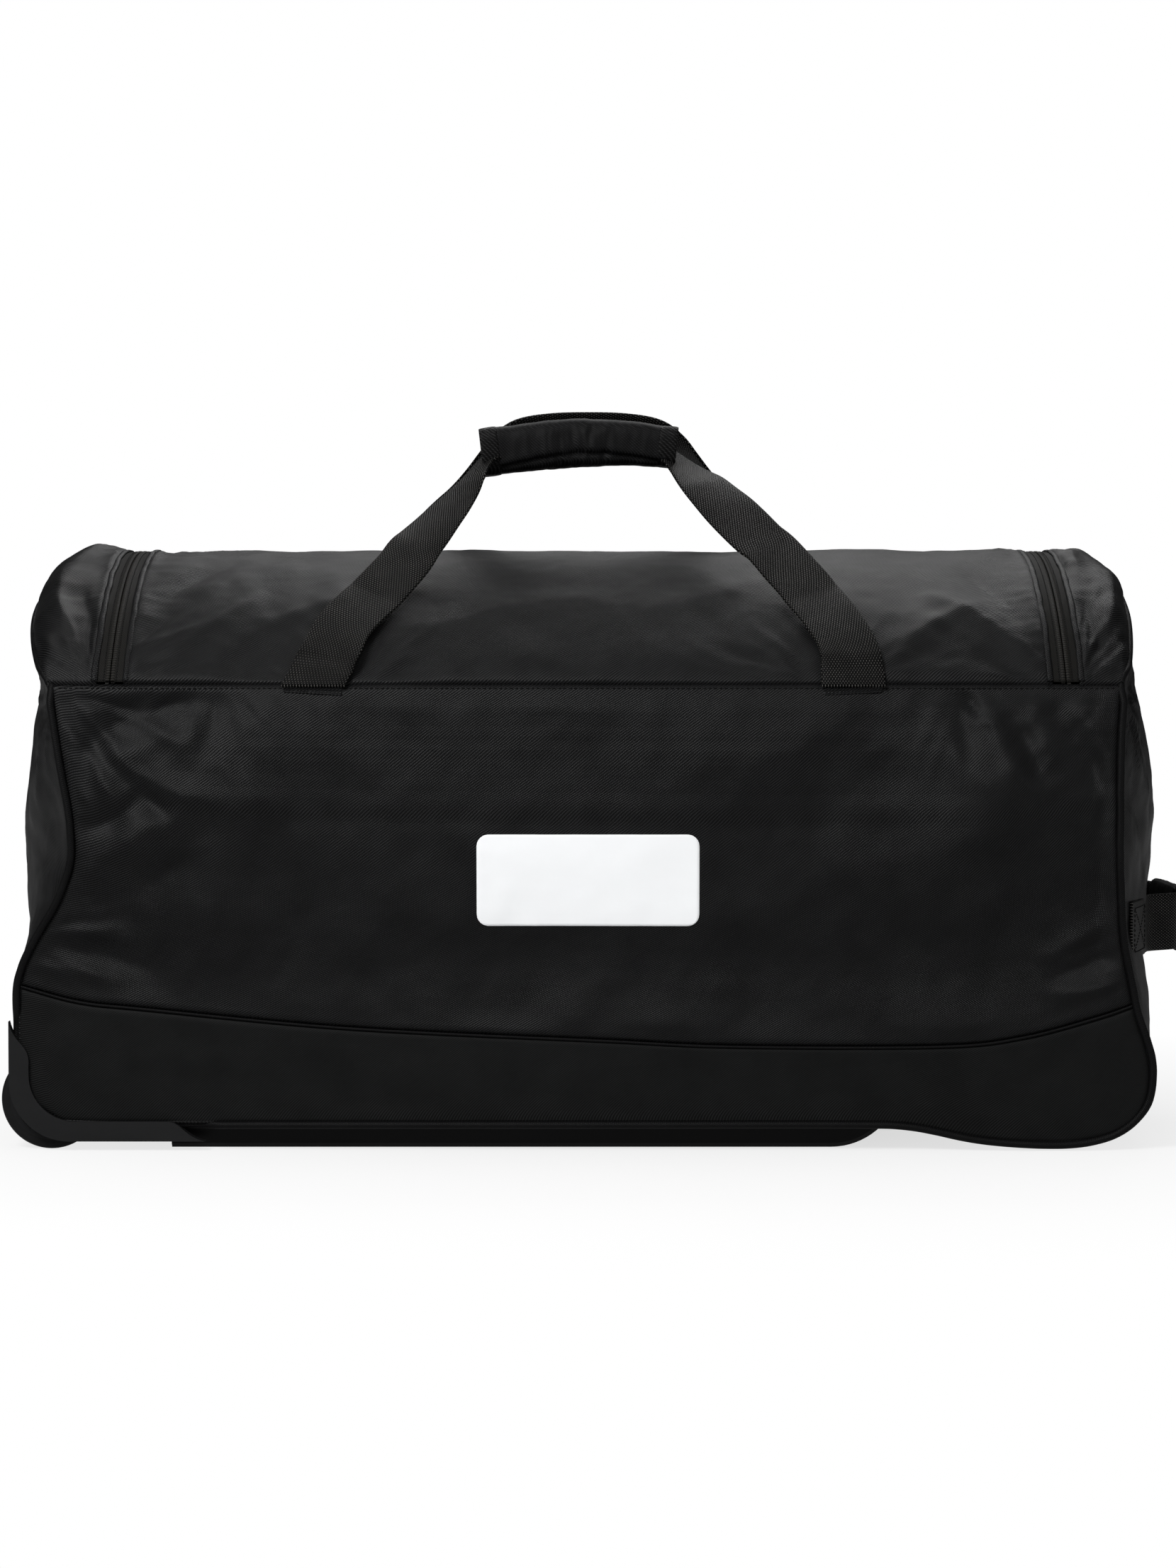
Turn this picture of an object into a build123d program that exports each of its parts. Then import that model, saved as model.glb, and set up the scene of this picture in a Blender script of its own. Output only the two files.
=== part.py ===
from build123d import *
import os
from math import sqrt

# Wheeled hockey equipment bag: a soft duffel on a stiff base, about 0.8 m long.
# +X is the pull-handle end, -X the wheel end, -Y the front, +Z up, in millimetres.
# Everything is drawn about the middle of the bag with the floor at Z = 0, and is moved
# as a whole at the end, so that the origin lies under the middle of the overall box.

# ---------------------------------------------------------------- driving sizes
# Fabric body
fabric = 2.0  # a sewn panel with its lining
bottom_height = 18.0  # underside of the bag, where the skid rails carry it
bottom_droop = 13.0  # how far the unsupported pull end sags below that
droop_start_x = 224.0
droop_end_x = 290.0
droop_start_radius = 200.0
droop_end_radius = 150.0
seam_height = 316.0  # long seam between the walls and the hood
crown_height = 411.0  # top of the hood
wall_half_depth = 178.0  # the walls over the stiff base
straight_wall_height = 118.0  # up to here the walls stand straight
belly_half_depth = 189.0  # where the walls swell most
belly_height = 210.0
seam_half_depth = 184.0  # the walls at the long seam
base_half_length = 386.0
base_corner_radius = 46.0
crown_corner_radius = 34.0
crown_half_length = 392.0

# Ends of the bag, from the base up: height, half length at the piped corners, and how
# far the end panel swells beyond the corners halfway between front and rear.
end_stations = [
    (-40.0, base_half_length, 1.0),
    (60.0, base_half_length, 3.0),
    (120.0, base_half_length - 10.0, 18.0),
    (170.0, base_half_length - 27.0, 42.0),
    (222.0, base_half_length - 33.0, 50.0),
    (seam_height, base_half_length - 24.0, 27.0),
    (crown_height + 40.0, base_half_length - 31.0, 26.0),
]
swell_half_depth = 185.0  # half the depth over which an end panel swells

# Lower accent panels: their top seam dips in the middle
accent_wheel_height = 114.0
accent_middle_height = 71.0
accent_pull_height = 98.0

piping_radius = 3.0

# Name patch on the front
patch_length = 150.0
patch_height = 62.0
patch_corner = 8.0
patch_thickness = 0.8
patch_centre_z = 184.0

# Zip of the lid
zip_half_length = 322.0  # from the middle of the bag to each side run
zip_rear_y = 118.0  # rear run
zip_corner_radius = 52.0
zip_band = 18.0  # tape that shows between the fabric edges
zip_gap = 1.6  # between the two tapes
zip_recess = 0.4  # tape below the fabric
tape_thickness = 1.2
coil_width = 2.4
coil_thickness = 1.6
hinge_gap = 0.6  # between the lid's front edge and the wall

# Zip sliders and their pullers
slider_length = 17.0
slider_width = 10.0
slider_plate = 1.6
slider_lift = 0.5  # above the tape
slider_half_spacing = 20.0
slider_neck = 0.8
slider_corner = 2.5
puller_length = 32.0
puller_width = 8.0
puller_thickness = 1.6
puller_eye = 3.4
puller_corner = 1.6
puller_hole_radius = 1.8
puller_side_clearance = 0.3
bridge_length = 4.0
bridge_height = 4.6
bridge_width = 2.0
pin_radius = 0.9
pin_clearance = 0.08

# Carry handles
webbing_width = 44.0  # along the seam, where a leg starts
webbing_thickness = 2.4
strap_half_spacing = 183.0
strap_foot = 4.2  # middle of the webbing out from the wall at its foot
strap_foot_rise = 1.5  # foot of the webbing above the seam
grip_length = 142.0
grip_height = 31.0
grip_depth = 25.0
grip_front_y = -18.0
grip_front_z = 497.0
grip_webbing = 22.0  # webbing folded narrow inside the sleeve
sleeve_corner = 9.0
leg_outer_x = 125.0  # where the outer edge of a leg bends in towards the sleeve
leg_outer_height = 164.0
leg_inner_x = 104.0
leg_inner_height = 140.0
binding_width = 9.0
binding_proud = 0.9
rear_run_y = 14.0
rear_run_z = 506.0
rear_run_webbing = 30.0
rear_arch_half_length = 66.0
rear_arch_drop = 10.0
anchor_height = 12.0
anchor_thickness = 2.9  # proud of the seam
anchor_overlap = 12.0  # depth of the block before it is trimmed to the skin

# Pull handle on the end
pull_handle_z = 148.0
pull_webbing = 40.0
pull_webbing_thickness = 2.0
pull_handle_reach = 24.0  # webbing out from the end panel in the middle
pull_pad_half_length = 52.0
pull_bend_half_length = 76.0
pull_foot_half_length = 108.0
pull_pad_height = 46.0
pull_pad_depth = 9.0
pull_pad_corner = 4.0

# Wheels
wheel_radius = 34.0
wheel_width = 24.0
wheel_axis_x = -365.0
tread_thickness = 6.5
hub_bore_radius = 11.0  # seat of the bearings
hub_boss_radius = 14.0
rim_thickness = 3.5
hub_web = 5.0
hub_hole_count = 6
hub_hole_radius = 3.0
hub_through_clearance = 1.0
tread_shoulder = 4.0
bearing_width = 7.0
axle_radius = 4.0
running_clearance = 0.05

# Wheel housings
housing_wall = 3.0
housing_fabric_gap = 0.2
well_clearance = 4.5
wheel_side_clearance = 2.2
boss_radius = 6.5
boss_clearance = 0.3
housing_left_x = -392.0
housing_bottom = 6.5
housing_corner_radius = 41.0
cheek_band = 13.5
cheek_height = 88.0
cheek_end_x = -259.0
cheek_thickness = 3.0
cheek_inner_radius = 31.5
axle_head_radius = 7.0
axle_head = 2.5

# Skid rails, base board and rivets
rail_start_x = -284.0
rail_end_x = 200.0
rail_width = 26.0
rail_y = 150.0
rail_nose_length = 34.0
rail_nose_height = 14.0
rail_chamfer = 3.0
board_thickness = 3.0
board_start_x = -316.0
board_end_x = 326.0
board_side_gap = 1.0
board_corner = 14.0
rivet_radius = 2.5
rivet_head_radius = 5.5
rivet_head_height = 1.6
rivet_depth = 12.0
rivet_count = 4
rivet_end_distance = 45.0

far = 300.0  # half depth of cutting blocks, outside the bag
end_block_y = 230.0  # half depth of the block that shapes the ends
long = 480.0  # half length of cutting blocks, outside the bag
outline_step = 40.0  # above the straight walls, where the outline widens clear of the swelling ends
outline_top = crown_height + 5.0  # top of the outline, clear of the crown

pieces = {}


def keep(name, part):
    """Keeps a finished piece under its node's name."""
    pieces[name] = part


# ---------------------------------------------------------------- shape of the body
def end_view(inset):
    """The bag's section across its length, that far inside the skin, as a long prism."""
    base = wall_half_depth - inset
    belly = belly_half_depth - inset
    seam = seam_half_depth - inset
    with BuildPart() as prism:
        with BuildSketch(Plane.YZ):
            with BuildLine():
                Polyline(
                    (-base, straight_wall_height), (-base, -long), (base, -long), (base, straight_wall_height)
                )
                ThreePointArc((base, straight_wall_height), (belly, belly_height), (seam, seam_height))
                ThreePointArc((seam, seam_height), (0, crown_height - inset), (-seam, seam_height))
                ThreePointArc((-seam, seam_height), (-belly, belly_height), (-base, straight_wall_height))
            make_face()
        extrude(amount=long, both=True)
    return prism.part


def end_reach(height):
    """Half length at the corners and swell of the ends at a height, straight between stations."""
    for low, high in zip(end_stations, end_stations[1:]):
        if low[0] <= height <= high[0]:
            share = (height - low[0]) / (high[0] - low[0])
            return low[1] + share * (high[1] - low[1]), low[2] + share * (high[2] - low[2])
    return end_stations[-1][1], end_stations[-1][2]


def end_block(inset):
    """A block whose two ends have the swelling shape of the end panels."""
    with BuildPart() as block:
        for height, half_length, swell in end_stations:
            reach = half_length - inset
            radius = (swell_half_depth**2 + swell**2) / (2 * swell)
            side = reach + swell - radius + sqrt(radius**2 - end_block_y**2)
            with BuildSketch(Plane.XY.offset(height)):
                with BuildLine():
                    ThreePointArc((side, -end_block_y), (reach + swell, 0), (side, end_block_y))
                    Line((side, end_block_y), (-side, end_block_y))
                    ThreePointArc((-side, end_block_y), (-reach - swell, 0), (-side, -end_block_y))
                    Line((-side, -end_block_y), (side, -end_block_y))
                make_face()
        loft()
    return block.part


def front_view(inset):
    """The bag's outline from the front, with rounded corners and the sagging base, as a deep prism."""
    floor_z = bottom_height + inset
    low_z = floor_z - bottom_droop
    base_x = base_half_length - inset
    top_x = crown_half_length - inset
    step_z = straight_wall_height + outline_step
    with BuildPart() as prism:
        with BuildSketch(Plane.XZ):
            with BuildLine():
                FilletPolyline(
                    (-base_x, step_z), (-base_x, floor_z), (droop_start_x, floor_z), (droop_end_x, low_z),
                    (base_x, low_z), (base_x, step_z),
                    radius=[base_corner_radius, droop_start_radius, droop_end_radius, base_corner_radius],
                )
                Polyline((base_x, step_z), (long, step_z), (long, seam_height), (top_x, seam_height))
                FilletPolyline(
                    (top_x, seam_height), (top_x, outline_top - inset),
                    (-top_x, outline_top - inset), (-top_x, seam_height),
                    radius=crown_corner_radius,
                )
                Polyline((-top_x, seam_height), (-long, seam_height), (-long, step_z), (-base_x, step_z))
            make_face()
        extrude(amount=far, both=True)
    return prism.part


def bag_solid(inset):
    """The whole bag as one solid, that far inside its skin."""
    with BuildPart() as solid:
        add(end_view(inset))
        add(end_block(inset), mode=Mode.INTERSECT)
        add(front_view(inset), mode=Mode.INTERSECT)
    return solid.part


def column(low_x, high_x, low_z, high_z, low_y=-far, high_y=far):
    """A plain cutting block between those limits."""
    with BuildPart() as block:
        with BuildSketch(Plane.XY.offset(low_z)):
            with Locations(((low_x + high_x) / 2, (low_y + high_y) / 2)):
                Rectangle(high_x - low_x, high_y - low_y)
        extrude(amount=high_z - low_z)
    return block.part


def half_block(side):
    """Everything below the long seams on the front (-1) or rear (1) half."""
    return column(-long, long, -far, seam_height, min(0, side * far), max(0, side * far))


def below_accent_seam():
    """Everything below the curved top seam of the lower accent panels."""
    with BuildPart() as block:
        with BuildSketch(Plane.XZ):
            with BuildLine():
                wheel_end = (-base_half_length, accent_wheel_height)
                pull_end = (base_half_length, accent_pull_height)
                ThreePointArc(wheel_end, (0, accent_middle_height), pull_end)
                Polyline(pull_end, (long, accent_pull_height), (long, -far), (-long, -far),
                         (-long, accent_wheel_height), wheel_end)
            make_face()
        extrude(amount=far, both=True)
    return block.part


def zip_region(offset_out):
    """The part of the hood inside the line of the zip, widened by that much, as a tall prism."""
    half = zip_half_length + offset_out
    rear = zip_rear_y + offset_out
    corner = zip_corner_radius + offset_out
    with BuildPart() as region:
        with BuildSketch(Plane.XY.offset(seam_height)):
            with BuildLine():
                FilletPolyline((-half, -far), (-half, rear), (half, rear), (half, -far), radius=corner)
                Line((half, -far), (-half, -far))
            make_face()
        extrude(amount=far)
    return region.part


bag_outside = bag_solid(0.0)
bag_inside = bag_solid(fabric)
section_inside = end_view(fabric)
accent_region = below_accent_seam()


# ---------------------------------------------------------------- sewn panels
def wall_panel(side, accent):
    """Front (side -1) or rear (side 1) wall between the piped corners, above or below the accent seam."""
    with BuildPart() as wall:
        add(bag_outside)
        add(section_inside, mode=Mode.SUBTRACT)
        add(half_block(side), mode=Mode.INTERSECT)
        add(accent_region, mode=Mode.INTERSECT if accent else Mode.SUBTRACT)
    return wall.part


def hood_layer(top_inset, bottom_inset):
    """The part of the skin above the long seams, between two depths below the surface."""
    with BuildPart() as layer:
        add(bag_outside)
        if top_inset:
            add(end_view(top_inset), mode=Mode.INTERSECT)
        add(end_view(bottom_inset), mode=Mode.SUBTRACT)
        add(column(-long, long, seam_height, outline_top), mode=Mode.INTERSECT)
    return layer.part


def end_panel(side):
    """End panel with the base corner that is sewn in one with it, on the wheel (-1) or pull (1) end."""
    corner_x = base_half_length - base_corner_radius
    low_x, high_x = (corner_x, long) if side > 0 else (-long, -corner_x)
    with BuildPart() as panel:
        add(bag_outside)
        add(section_inside, mode=Mode.INTERSECT)
        add(bag_inside, mode=Mode.SUBTRACT)
        add(column(low_x, high_x, -far, long), mode=Mode.INTERSECT)
    return panel.part


def bottom_panel():
    """Bottom panel between the two end panels."""
    corner_x = base_half_length - base_corner_radius
    with BuildPart() as panel:
        add(bag_outside)
        add(section_inside, mode=Mode.INTERSECT)
        add(bag_inside, mode=Mode.SUBTRACT)
        add(column(-corner_x, corner_x, -far, straight_wall_height), mode=Mode.INTERSECT)
    return panel.part


def hood_band(top_inset, bottom_inset, inner_offset, outer_offset):
    """A strip of the hood between two distances from the line of the zip, at a depth below the surface."""
    with BuildPart() as band:
        add(hood_layer(top_inset, bottom_inset))
        add(zip_region(outer_offset), mode=Mode.INTERSECT)
        add(zip_region(inner_offset), mode=Mode.SUBTRACT)
    return band.part


def lid_trimmed(part):
    """Takes away the sliver between a lid piece and the top of the wall."""
    with BuildPart() as trimmed:
        add(part)
        add(column(-long, long, 0, seam_height + hinge_gap, -far, 0), mode=Mode.SUBTRACT)
    return trimmed.part


# ---------------------------------------------------------------- wheel housings, drawn for the front
wall_inner_y = -(wall_half_depth - fabric)
housing_outer_y = wall_inner_y + housing_fabric_gap
wheel_outer_y = housing_outer_y + housing_wall + wheel_side_clearance
wheel_axis_y = wheel_outer_y + wheel_width / 2
well_inner_y = wheel_axis_y + wheel_width / 2 + wheel_side_clearance
housing_inner_y = well_inner_y + housing_wall
well_radius = wheel_radius + well_clearance
housing_radius = well_radius + housing_wall


def wheel_plane(y):
    """The plane across the wheel's axis at that Y, facing the front."""
    return Plane((wheel_axis_x, y, wheel_radius), x_dir=(1, 0, 0), z_dir=(0, -1, 0))


def housing_outline(low_y, high_y):
    """The lower left corner that a housing may fill, as seen from the front."""
    with BuildPart() as block:
        with BuildSketch(Plane.XZ.offset(-high_y)):
            with BuildLine():
                FilletPolyline(
                    (housing_left_x, far), (housing_left_x, housing_bottom), (long, housing_bottom),
                    radius=housing_corner_radius,
                )
                Polyline((long, housing_bottom), (long, far), (housing_left_x, far))
            make_face()
        extrude(amount=high_y - low_y)
    return block.part


def cheek_band_block(low_y, high_y):
    """The L-shaped band of the moulded cheek, as seen from the front."""
    inner_x = housing_left_x + cheek_band
    inner_z = housing_bottom + cheek_band
    with BuildPart() as block:
        with BuildSketch(Plane.XZ.offset(-high_y)):
            with BuildLine():
                FilletPolyline(
                    (housing_left_x, cheek_height), (housing_left_x, housing_bottom),
                    (cheek_end_x, housing_bottom),
                    radius=housing_corner_radius,
                )
                Spline(
                    (cheek_end_x, housing_bottom),
                    (cheek_end_x - cheek_band, housing_bottom + cheek_band / 2),
                    (cheek_end_x - 2 * cheek_band, inner_z), tangents=[(-1, 0.2), (-1, 0)],
                )
                FilletPolyline(
                    (cheek_end_x - 2 * cheek_band, inner_z), (inner_x, inner_z),
                    (inner_x, cheek_height - 2 * cheek_band), radius=cheek_inner_radius,
                )
                Spline(
                    (inner_x, cheek_height - 2 * cheek_band),
                    (housing_left_x + cheek_band / 2, cheek_height - cheek_band),
                    (housing_left_x, cheek_height), tangents=[(0, 1), (-0.2, 1)],
                )
            make_face()
        extrude(amount=high_y - low_y)
    return block.part


def wheel_well(low_y, high_y):
    """The room that the wheel and its housing take out of the soft bag."""
    with BuildPart() as room:
        with BuildSketch(wheel_plane(high_y)):
            Circle(housing_radius)
            with Locations((-housing_radius, -housing_radius / 2)):
                Rectangle(2 * housing_radius, housing_radius)
            with Locations((-housing_radius / 2, -housing_radius)):
                Rectangle(housing_radius, 2 * housing_radius)
        extrude(amount=high_y - low_y)
    return room.part


def wheel_housing():
    """Moulded housing: two walls and an arch round the wheel, and the cheek over the fabric."""
    with BuildPart() as rim:
        add(cheek_band_block(-wall_half_depth, housing_outer_y + housing_wall))
        add(front_view(0.0), mode=Mode.SUBTRACT)
    with BuildPart() as housing:
        with BuildSketch(wheel_plane(housing_inner_y)):
            Circle(housing_radius)
        extrude(amount=housing_inner_y - housing_outer_y)
        with BuildSketch(wheel_plane(well_inner_y)):
            Circle(well_radius)
        extrude(amount=well_inner_y - housing_outer_y - housing_wall, mode=Mode.SUBTRACT)
        add(housing_outline(housing_outer_y, housing_inner_y), mode=Mode.INTERSECT)
        boss_height = wheel_side_clearance - boss_clearance
        with BuildSketch(wheel_plane(housing_outer_y + housing_wall + boss_height)):
            Circle(boss_radius)
        extrude(amount=boss_height)
        with BuildSketch(wheel_plane(well_inner_y)):
            Circle(boss_radius)
        extrude(amount=boss_height)
        add(rim.part)
        add(cheek_band_block(-wall_half_depth - cheek_thickness, -wall_half_depth))
        with BuildSketch(wheel_plane(housing_inner_y)):
            Circle(axle_radius)
        extrude(amount=housing_inner_y - housing_outer_y, mode=Mode.SUBTRACT)
    return housing.part


def wheel_axle():
    """Steel axle pressed into both walls of a housing, with its head inside the bag."""
    with BuildPart() as axle:
        with BuildSketch(wheel_plane(housing_inner_y)):
            Circle(axle_radius)
        extrude(amount=housing_inner_y - housing_outer_y)
        with BuildSketch(wheel_plane(housing_inner_y + axle_head)):
            Circle(axle_head_radius)
        extrude(amount=axle_head)
    return axle.part


def wheel_tread():
    """Soft tread moulded round the rim, with rounded shoulders."""
    with BuildPart() as tread:
        with BuildSketch(wheel_plane(wheel_axis_y + wheel_width / 2)):
            Circle(wheel_radius)
            Circle(wheel_radius - tread_thickness, mode=Mode.SUBTRACT)
        extrude(amount=wheel_width)
        outer_rims = tread.edges().filter_by(GeomType.CIRCLE).group_by(SortBy.RADIUS)[-1]
        fillet(outer_rims, radius=tread_shoulder)
    return tread.part


def wheel_hub():
    """Hub: rim, web with lightening holes, and a boss with a bearing seat from each side."""
    rim_radius = wheel_radius - tread_thickness
    with BuildPart() as hub:
        with BuildSketch(wheel_plane(wheel_axis_y + wheel_width / 2)):
            Circle(rim_radius)
            Circle(rim_radius - rim_thickness, mode=Mode.SUBTRACT)
            Circle(hub_boss_radius)
        extrude(amount=wheel_width)
        with BuildSketch(wheel_plane(wheel_axis_y + hub_web / 2)):
            Circle(rim_radius)
            with PolarLocations((rim_radius - rim_thickness + hub_boss_radius) / 2, hub_hole_count):
                Circle(hub_hole_radius, mode=Mode.SUBTRACT)
        extrude(amount=hub_web)
        with BuildSketch(wheel_plane(wheel_axis_y + wheel_width / 2)):
            Circle(hub_bore_radius)
        extrude(amount=bearing_width, mode=Mode.SUBTRACT)
        with BuildSketch(wheel_plane(wheel_axis_y - wheel_width / 2 + bearing_width)):
            Circle(hub_bore_radius)
        extrude(amount=bearing_width, mode=Mode.SUBTRACT)
        with BuildSketch(wheel_plane(wheel_axis_y + wheel_width / 2)):
            Circle(axle_radius + hub_through_clearance)
        extrude(amount=wheel_width, mode=Mode.SUBTRACT)
    return hub.part


def wheel_bearing(high_y):
    """Ball bearing, drawn as one ring that runs on the axle."""
    with BuildPart() as bearing:
        with BuildSketch(wheel_plane(high_y)):
            Circle(hub_bore_radius)
            Circle(axle_radius + running_clearance, mode=Mode.SUBTRACT)
        extrude(amount=bearing_width)
    return bearing.part


# ---------------------------------------------------------------- skid rails, base board, rivets
rivet_step = (rail_end_x - rail_start_x - rail_nose_length - 2 * rivet_end_distance) / (rivet_count - 1)
rivet_places = [rail_start_x + rivet_end_distance + n * rivet_step for n in range(rivet_count)]


def rivets(y):
    """A row of rivets through the base board and the bottom panel into a skid rail."""
    board_top = bottom_height + fabric + board_thickness
    with BuildPart() as row:
        with BuildSketch(Plane.XY.offset(board_top - rivet_depth)):
            with Locations([(x, y) for x in rivet_places]):
                Circle(rivet_radius)
        extrude(amount=rivet_depth)
        with BuildSketch(Plane.XY.offset(board_top)):
            with Locations([(x, y) for x in rivet_places]):
                Circle(rivet_head_radius)
        extrude(amount=rivet_head_height)
    return row.part


def skid_rail(y):
    """Skid rail under the base: square at the wheel end, turned up like a ski at the pull end."""
    with BuildPart() as rail:
        with BuildSketch(Plane.XZ.offset(-(y + rail_width / 2))):
            with BuildLine():
                Polyline(
                    (rail_end_x, rail_nose_height), (rail_end_x, bottom_height),
                    (rail_start_x, bottom_height),
                    (rail_start_x, 0), (rail_end_x - rail_nose_length, 0),
                )
                TangentArc((rail_end_x - rail_nose_length, 0), (rail_end_x, rail_nose_height), tangent=(1, 0))
            make_face()
        extrude(amount=rail_width)
        floor_edges = rail.faces().sort_by(Axis.Z)[0].edges().filter_by(Axis.X)
        chamfer(floor_edges, length=rail_chamfer)
        add(rivets(y), mode=Mode.SUBTRACT)
    return rail.part


def base_board():
    """Stiff board that lies on the bottom panel."""
    half_depth = -wall_inner_y - board_side_gap
    with BuildPart() as board:
        add(column(board_start_x, board_end_x, bottom_height + fabric,
                   bottom_height + fabric + board_thickness, -half_depth, half_depth))
        fillet(board.edges().filter_by(Axis.Z), radius=board_corner)
        for y in (-rail_y, rail_y):
            add(rivets(y), mode=Mode.SUBTRACT)
    return board.part


# ---------------------------------------------------------------- trim on the skin
def piping(side):
    """Welt round the front (-1) or rear (1) wall: down both ends and along the base."""
    with BuildPart() as welt:
        add(bag_solid(-piping_radius))
        add(bag_outside, mode=Mode.SUBTRACT)
        add(end_view(piping_radius), mode=Mode.SUBTRACT)
        with BuildPart(mode=Mode.PRIVATE) as face_of_wall:
            add(end_block(piping_radius))
            add(front_view(piping_radius), mode=Mode.INTERSECT)
        add(face_of_wall.part, mode=Mode.SUBTRACT)
        add(half_block(side), mode=Mode.INTERSECT)
    return welt.part


def name_patch():
    """Blank patch on the front wall, for its owner's name."""
    with BuildPart() as patch:
        with BuildSketch(Plane.XZ):
            with Locations((0, patch_centre_z)):
                RectangleRounded(patch_length, patch_height, patch_corner)
        extrude(amount=far)
        add(end_view(-patch_thickness), mode=Mode.INTERSECT)
        add(end_view(0.0), mode=Mode.SUBTRACT)
    return patch.part


# ---------------------------------------------------------------- carry handles
handle_axis_y = seam_half_depth + strap_foot  # both handles and the lid turn about this line
handle_axis_z = seam_height + strap_foot_rise


def handle_plane(side, run_y, run_z):
    """Plane of a handle, from its hinge line up to its middle, and the distance between them."""
    rise = run_z - handle_axis_z
    lean = run_y - side * handle_axis_y
    distance = sqrt(rise**2 + lean**2)
    normal = (0, -rise / distance, lean / distance)
    plane = Plane((0, side * handle_axis_y, handle_axis_z), x_dir=(1, 0, 0), z_dir=normal)
    return plane, distance


front_plane, front_run = handle_plane(-1, grip_front_y, grip_front_z)
rear_plane, rear_run = handle_plane(1, rear_run_y, rear_run_z)
foot_outer = strap_half_spacing + webbing_width / 2
foot_inner = strap_half_spacing - webbing_width / 2


def front_webbing():
    """Webbing of the front handle: two legs, folded narrow where it runs through the sleeve."""
    top = front_run + grip_webbing / 2
    under = front_run - grip_webbing / 2
    half_grip = grip_length / 2
    with BuildPart() as webbing:
        with BuildSketch(front_plane):
            with BuildLine():
                Polyline(
                    (0, top), (half_grip, top), (leg_outer_x, leg_outer_height), (foot_outer, 0),
                    (foot_inner, 0), (leg_inner_x, leg_inner_height), (half_grip, under), (0, under),
                    (0, top),
                )
            make_face()
            mirror(about=Plane.YZ)
        extrude(amount=webbing_thickness / 2, both=True)
    return webbing.part


def rear_webbing():
    """Webbing of the rear handle: two legs joined by an arched run behind the sleeve."""
    top = rear_run + rear_run_webbing / 2
    under = rear_run - rear_run_webbing / 2
    with BuildPart() as webbing:
        with BuildSketch(rear_plane):
            with BuildLine():
                ThreePointArc(
                    (0, top), (rear_arch_half_length / 2, top - rear_arch_drop / 4),
                    (rear_arch_half_length, top - rear_arch_drop),
                )
                Polyline(
                    (rear_arch_half_length, top - rear_arch_drop), (leg_outer_x, leg_outer_height),
                    (foot_outer, 0), (foot_inner, 0), (leg_inner_x, leg_inner_height),
                    (rear_arch_half_length, under - rear_arch_drop),
                )
                ThreePointArc(
                    (rear_arch_half_length, under - rear_arch_drop),
                    (rear_arch_half_length / 2, under - rear_arch_drop / 4), (0, under),
                )
                Line((0, under), (0, top))
            make_face()
            mirror(about=Plane.YZ)
        extrude(amount=webbing_thickness / 2, both=True)
    return webbing.part


def strap_anchor(end, side):
    """Folded end of a leg, stitched to the wall just below the long seam."""
    outer_y = seam_half_depth + anchor_thickness
    with BuildPart() as anchor:
        with BuildSketch(Plane.XY.offset(seam_height - anchor_height)):
            with Locations((end * strap_half_spacing, side * (outer_y - anchor_overlap / 2))):
                Rectangle(webbing_width, anchor_overlap)
        extrude(amount=anchor_height)
        add(bag_outside, mode=Mode.SUBTRACT)
    return anchor.part


def grip_plane(x):
    """Plane across the sleeve at that distance from its middle, with its depth along local X."""
    middle = front_plane.from_local_coords((x, front_run, 0))
    return Plane(middle, x_dir=front_plane.z_dir, z_dir=(1, 0, 0))


def grip_sleeve():
    """Padded sleeve round the front webbing."""
    with BuildPart() as sleeve:
        with BuildSketch(grip_plane(-grip_length / 2)):
            RectangleRounded(grip_depth, grip_height, sleeve_corner)
        extrude(amount=grip_length)
        add(front_webbing(), mode=Mode.SUBTRACT)
    return sleeve.part


def grip_binding(end):
    """Tape bound round one end of the sleeve."""
    start = -grip_length / 2 if end < 0 else grip_length / 2 - binding_width
    with BuildPart() as binding:
        with BuildSketch(grip_plane(start)):
            RectangleRounded(
                grip_depth + 2 * binding_proud, grip_height + 2 * binding_proud, sleeve_corner + binding_proud
            )
            RectangleRounded(grip_depth, grip_height, sleeve_corner, mode=Mode.SUBTRACT)
        extrude(amount=binding_width)
    return binding.part


# ---------------------------------------------------------------- pull handle on the +X end
def end_surface_x(y):
    """Where the end panel's skin lies at the pull handle's height, at that distance from the middle."""
    reach, swell = end_reach(pull_handle_z)
    return reach + swell * (1 - (y / swell_half_depth) ** 2)


pull_middle_x = end_surface_x(0) + pull_handle_reach


def pull_webbing_strap():
    """Webbing of the pull handle: two feet sewn to the end panel and a straight run between them."""
    half = pull_webbing_thickness / 2
    stations = [
        (pull_foot_half_length, end_surface_x(pull_foot_half_length) + half),
        (pull_bend_half_length, end_surface_x(pull_bend_half_length) + half),
        (pull_pad_half_length, pull_middle_x),
        (-pull_pad_half_length, pull_middle_x),
        (-pull_bend_half_length, end_surface_x(pull_bend_half_length) + half),
        (-pull_foot_half_length, end_surface_x(pull_foot_half_length) + half),
    ]
    with BuildPart() as strap:
        with BuildSketch(Plane.XY.offset(pull_handle_z - pull_webbing / 2)):
            with BuildLine():
                outside = [(x + half, y) for y, x in stations]
                inside = [(x - half, y) for y, x in reversed(stations)]
                Polyline(outside + inside, close=True)
            make_face()
        extrude(amount=pull_webbing)
        add(bag_outside, mode=Mode.SUBTRACT)
    return strap.part


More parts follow.
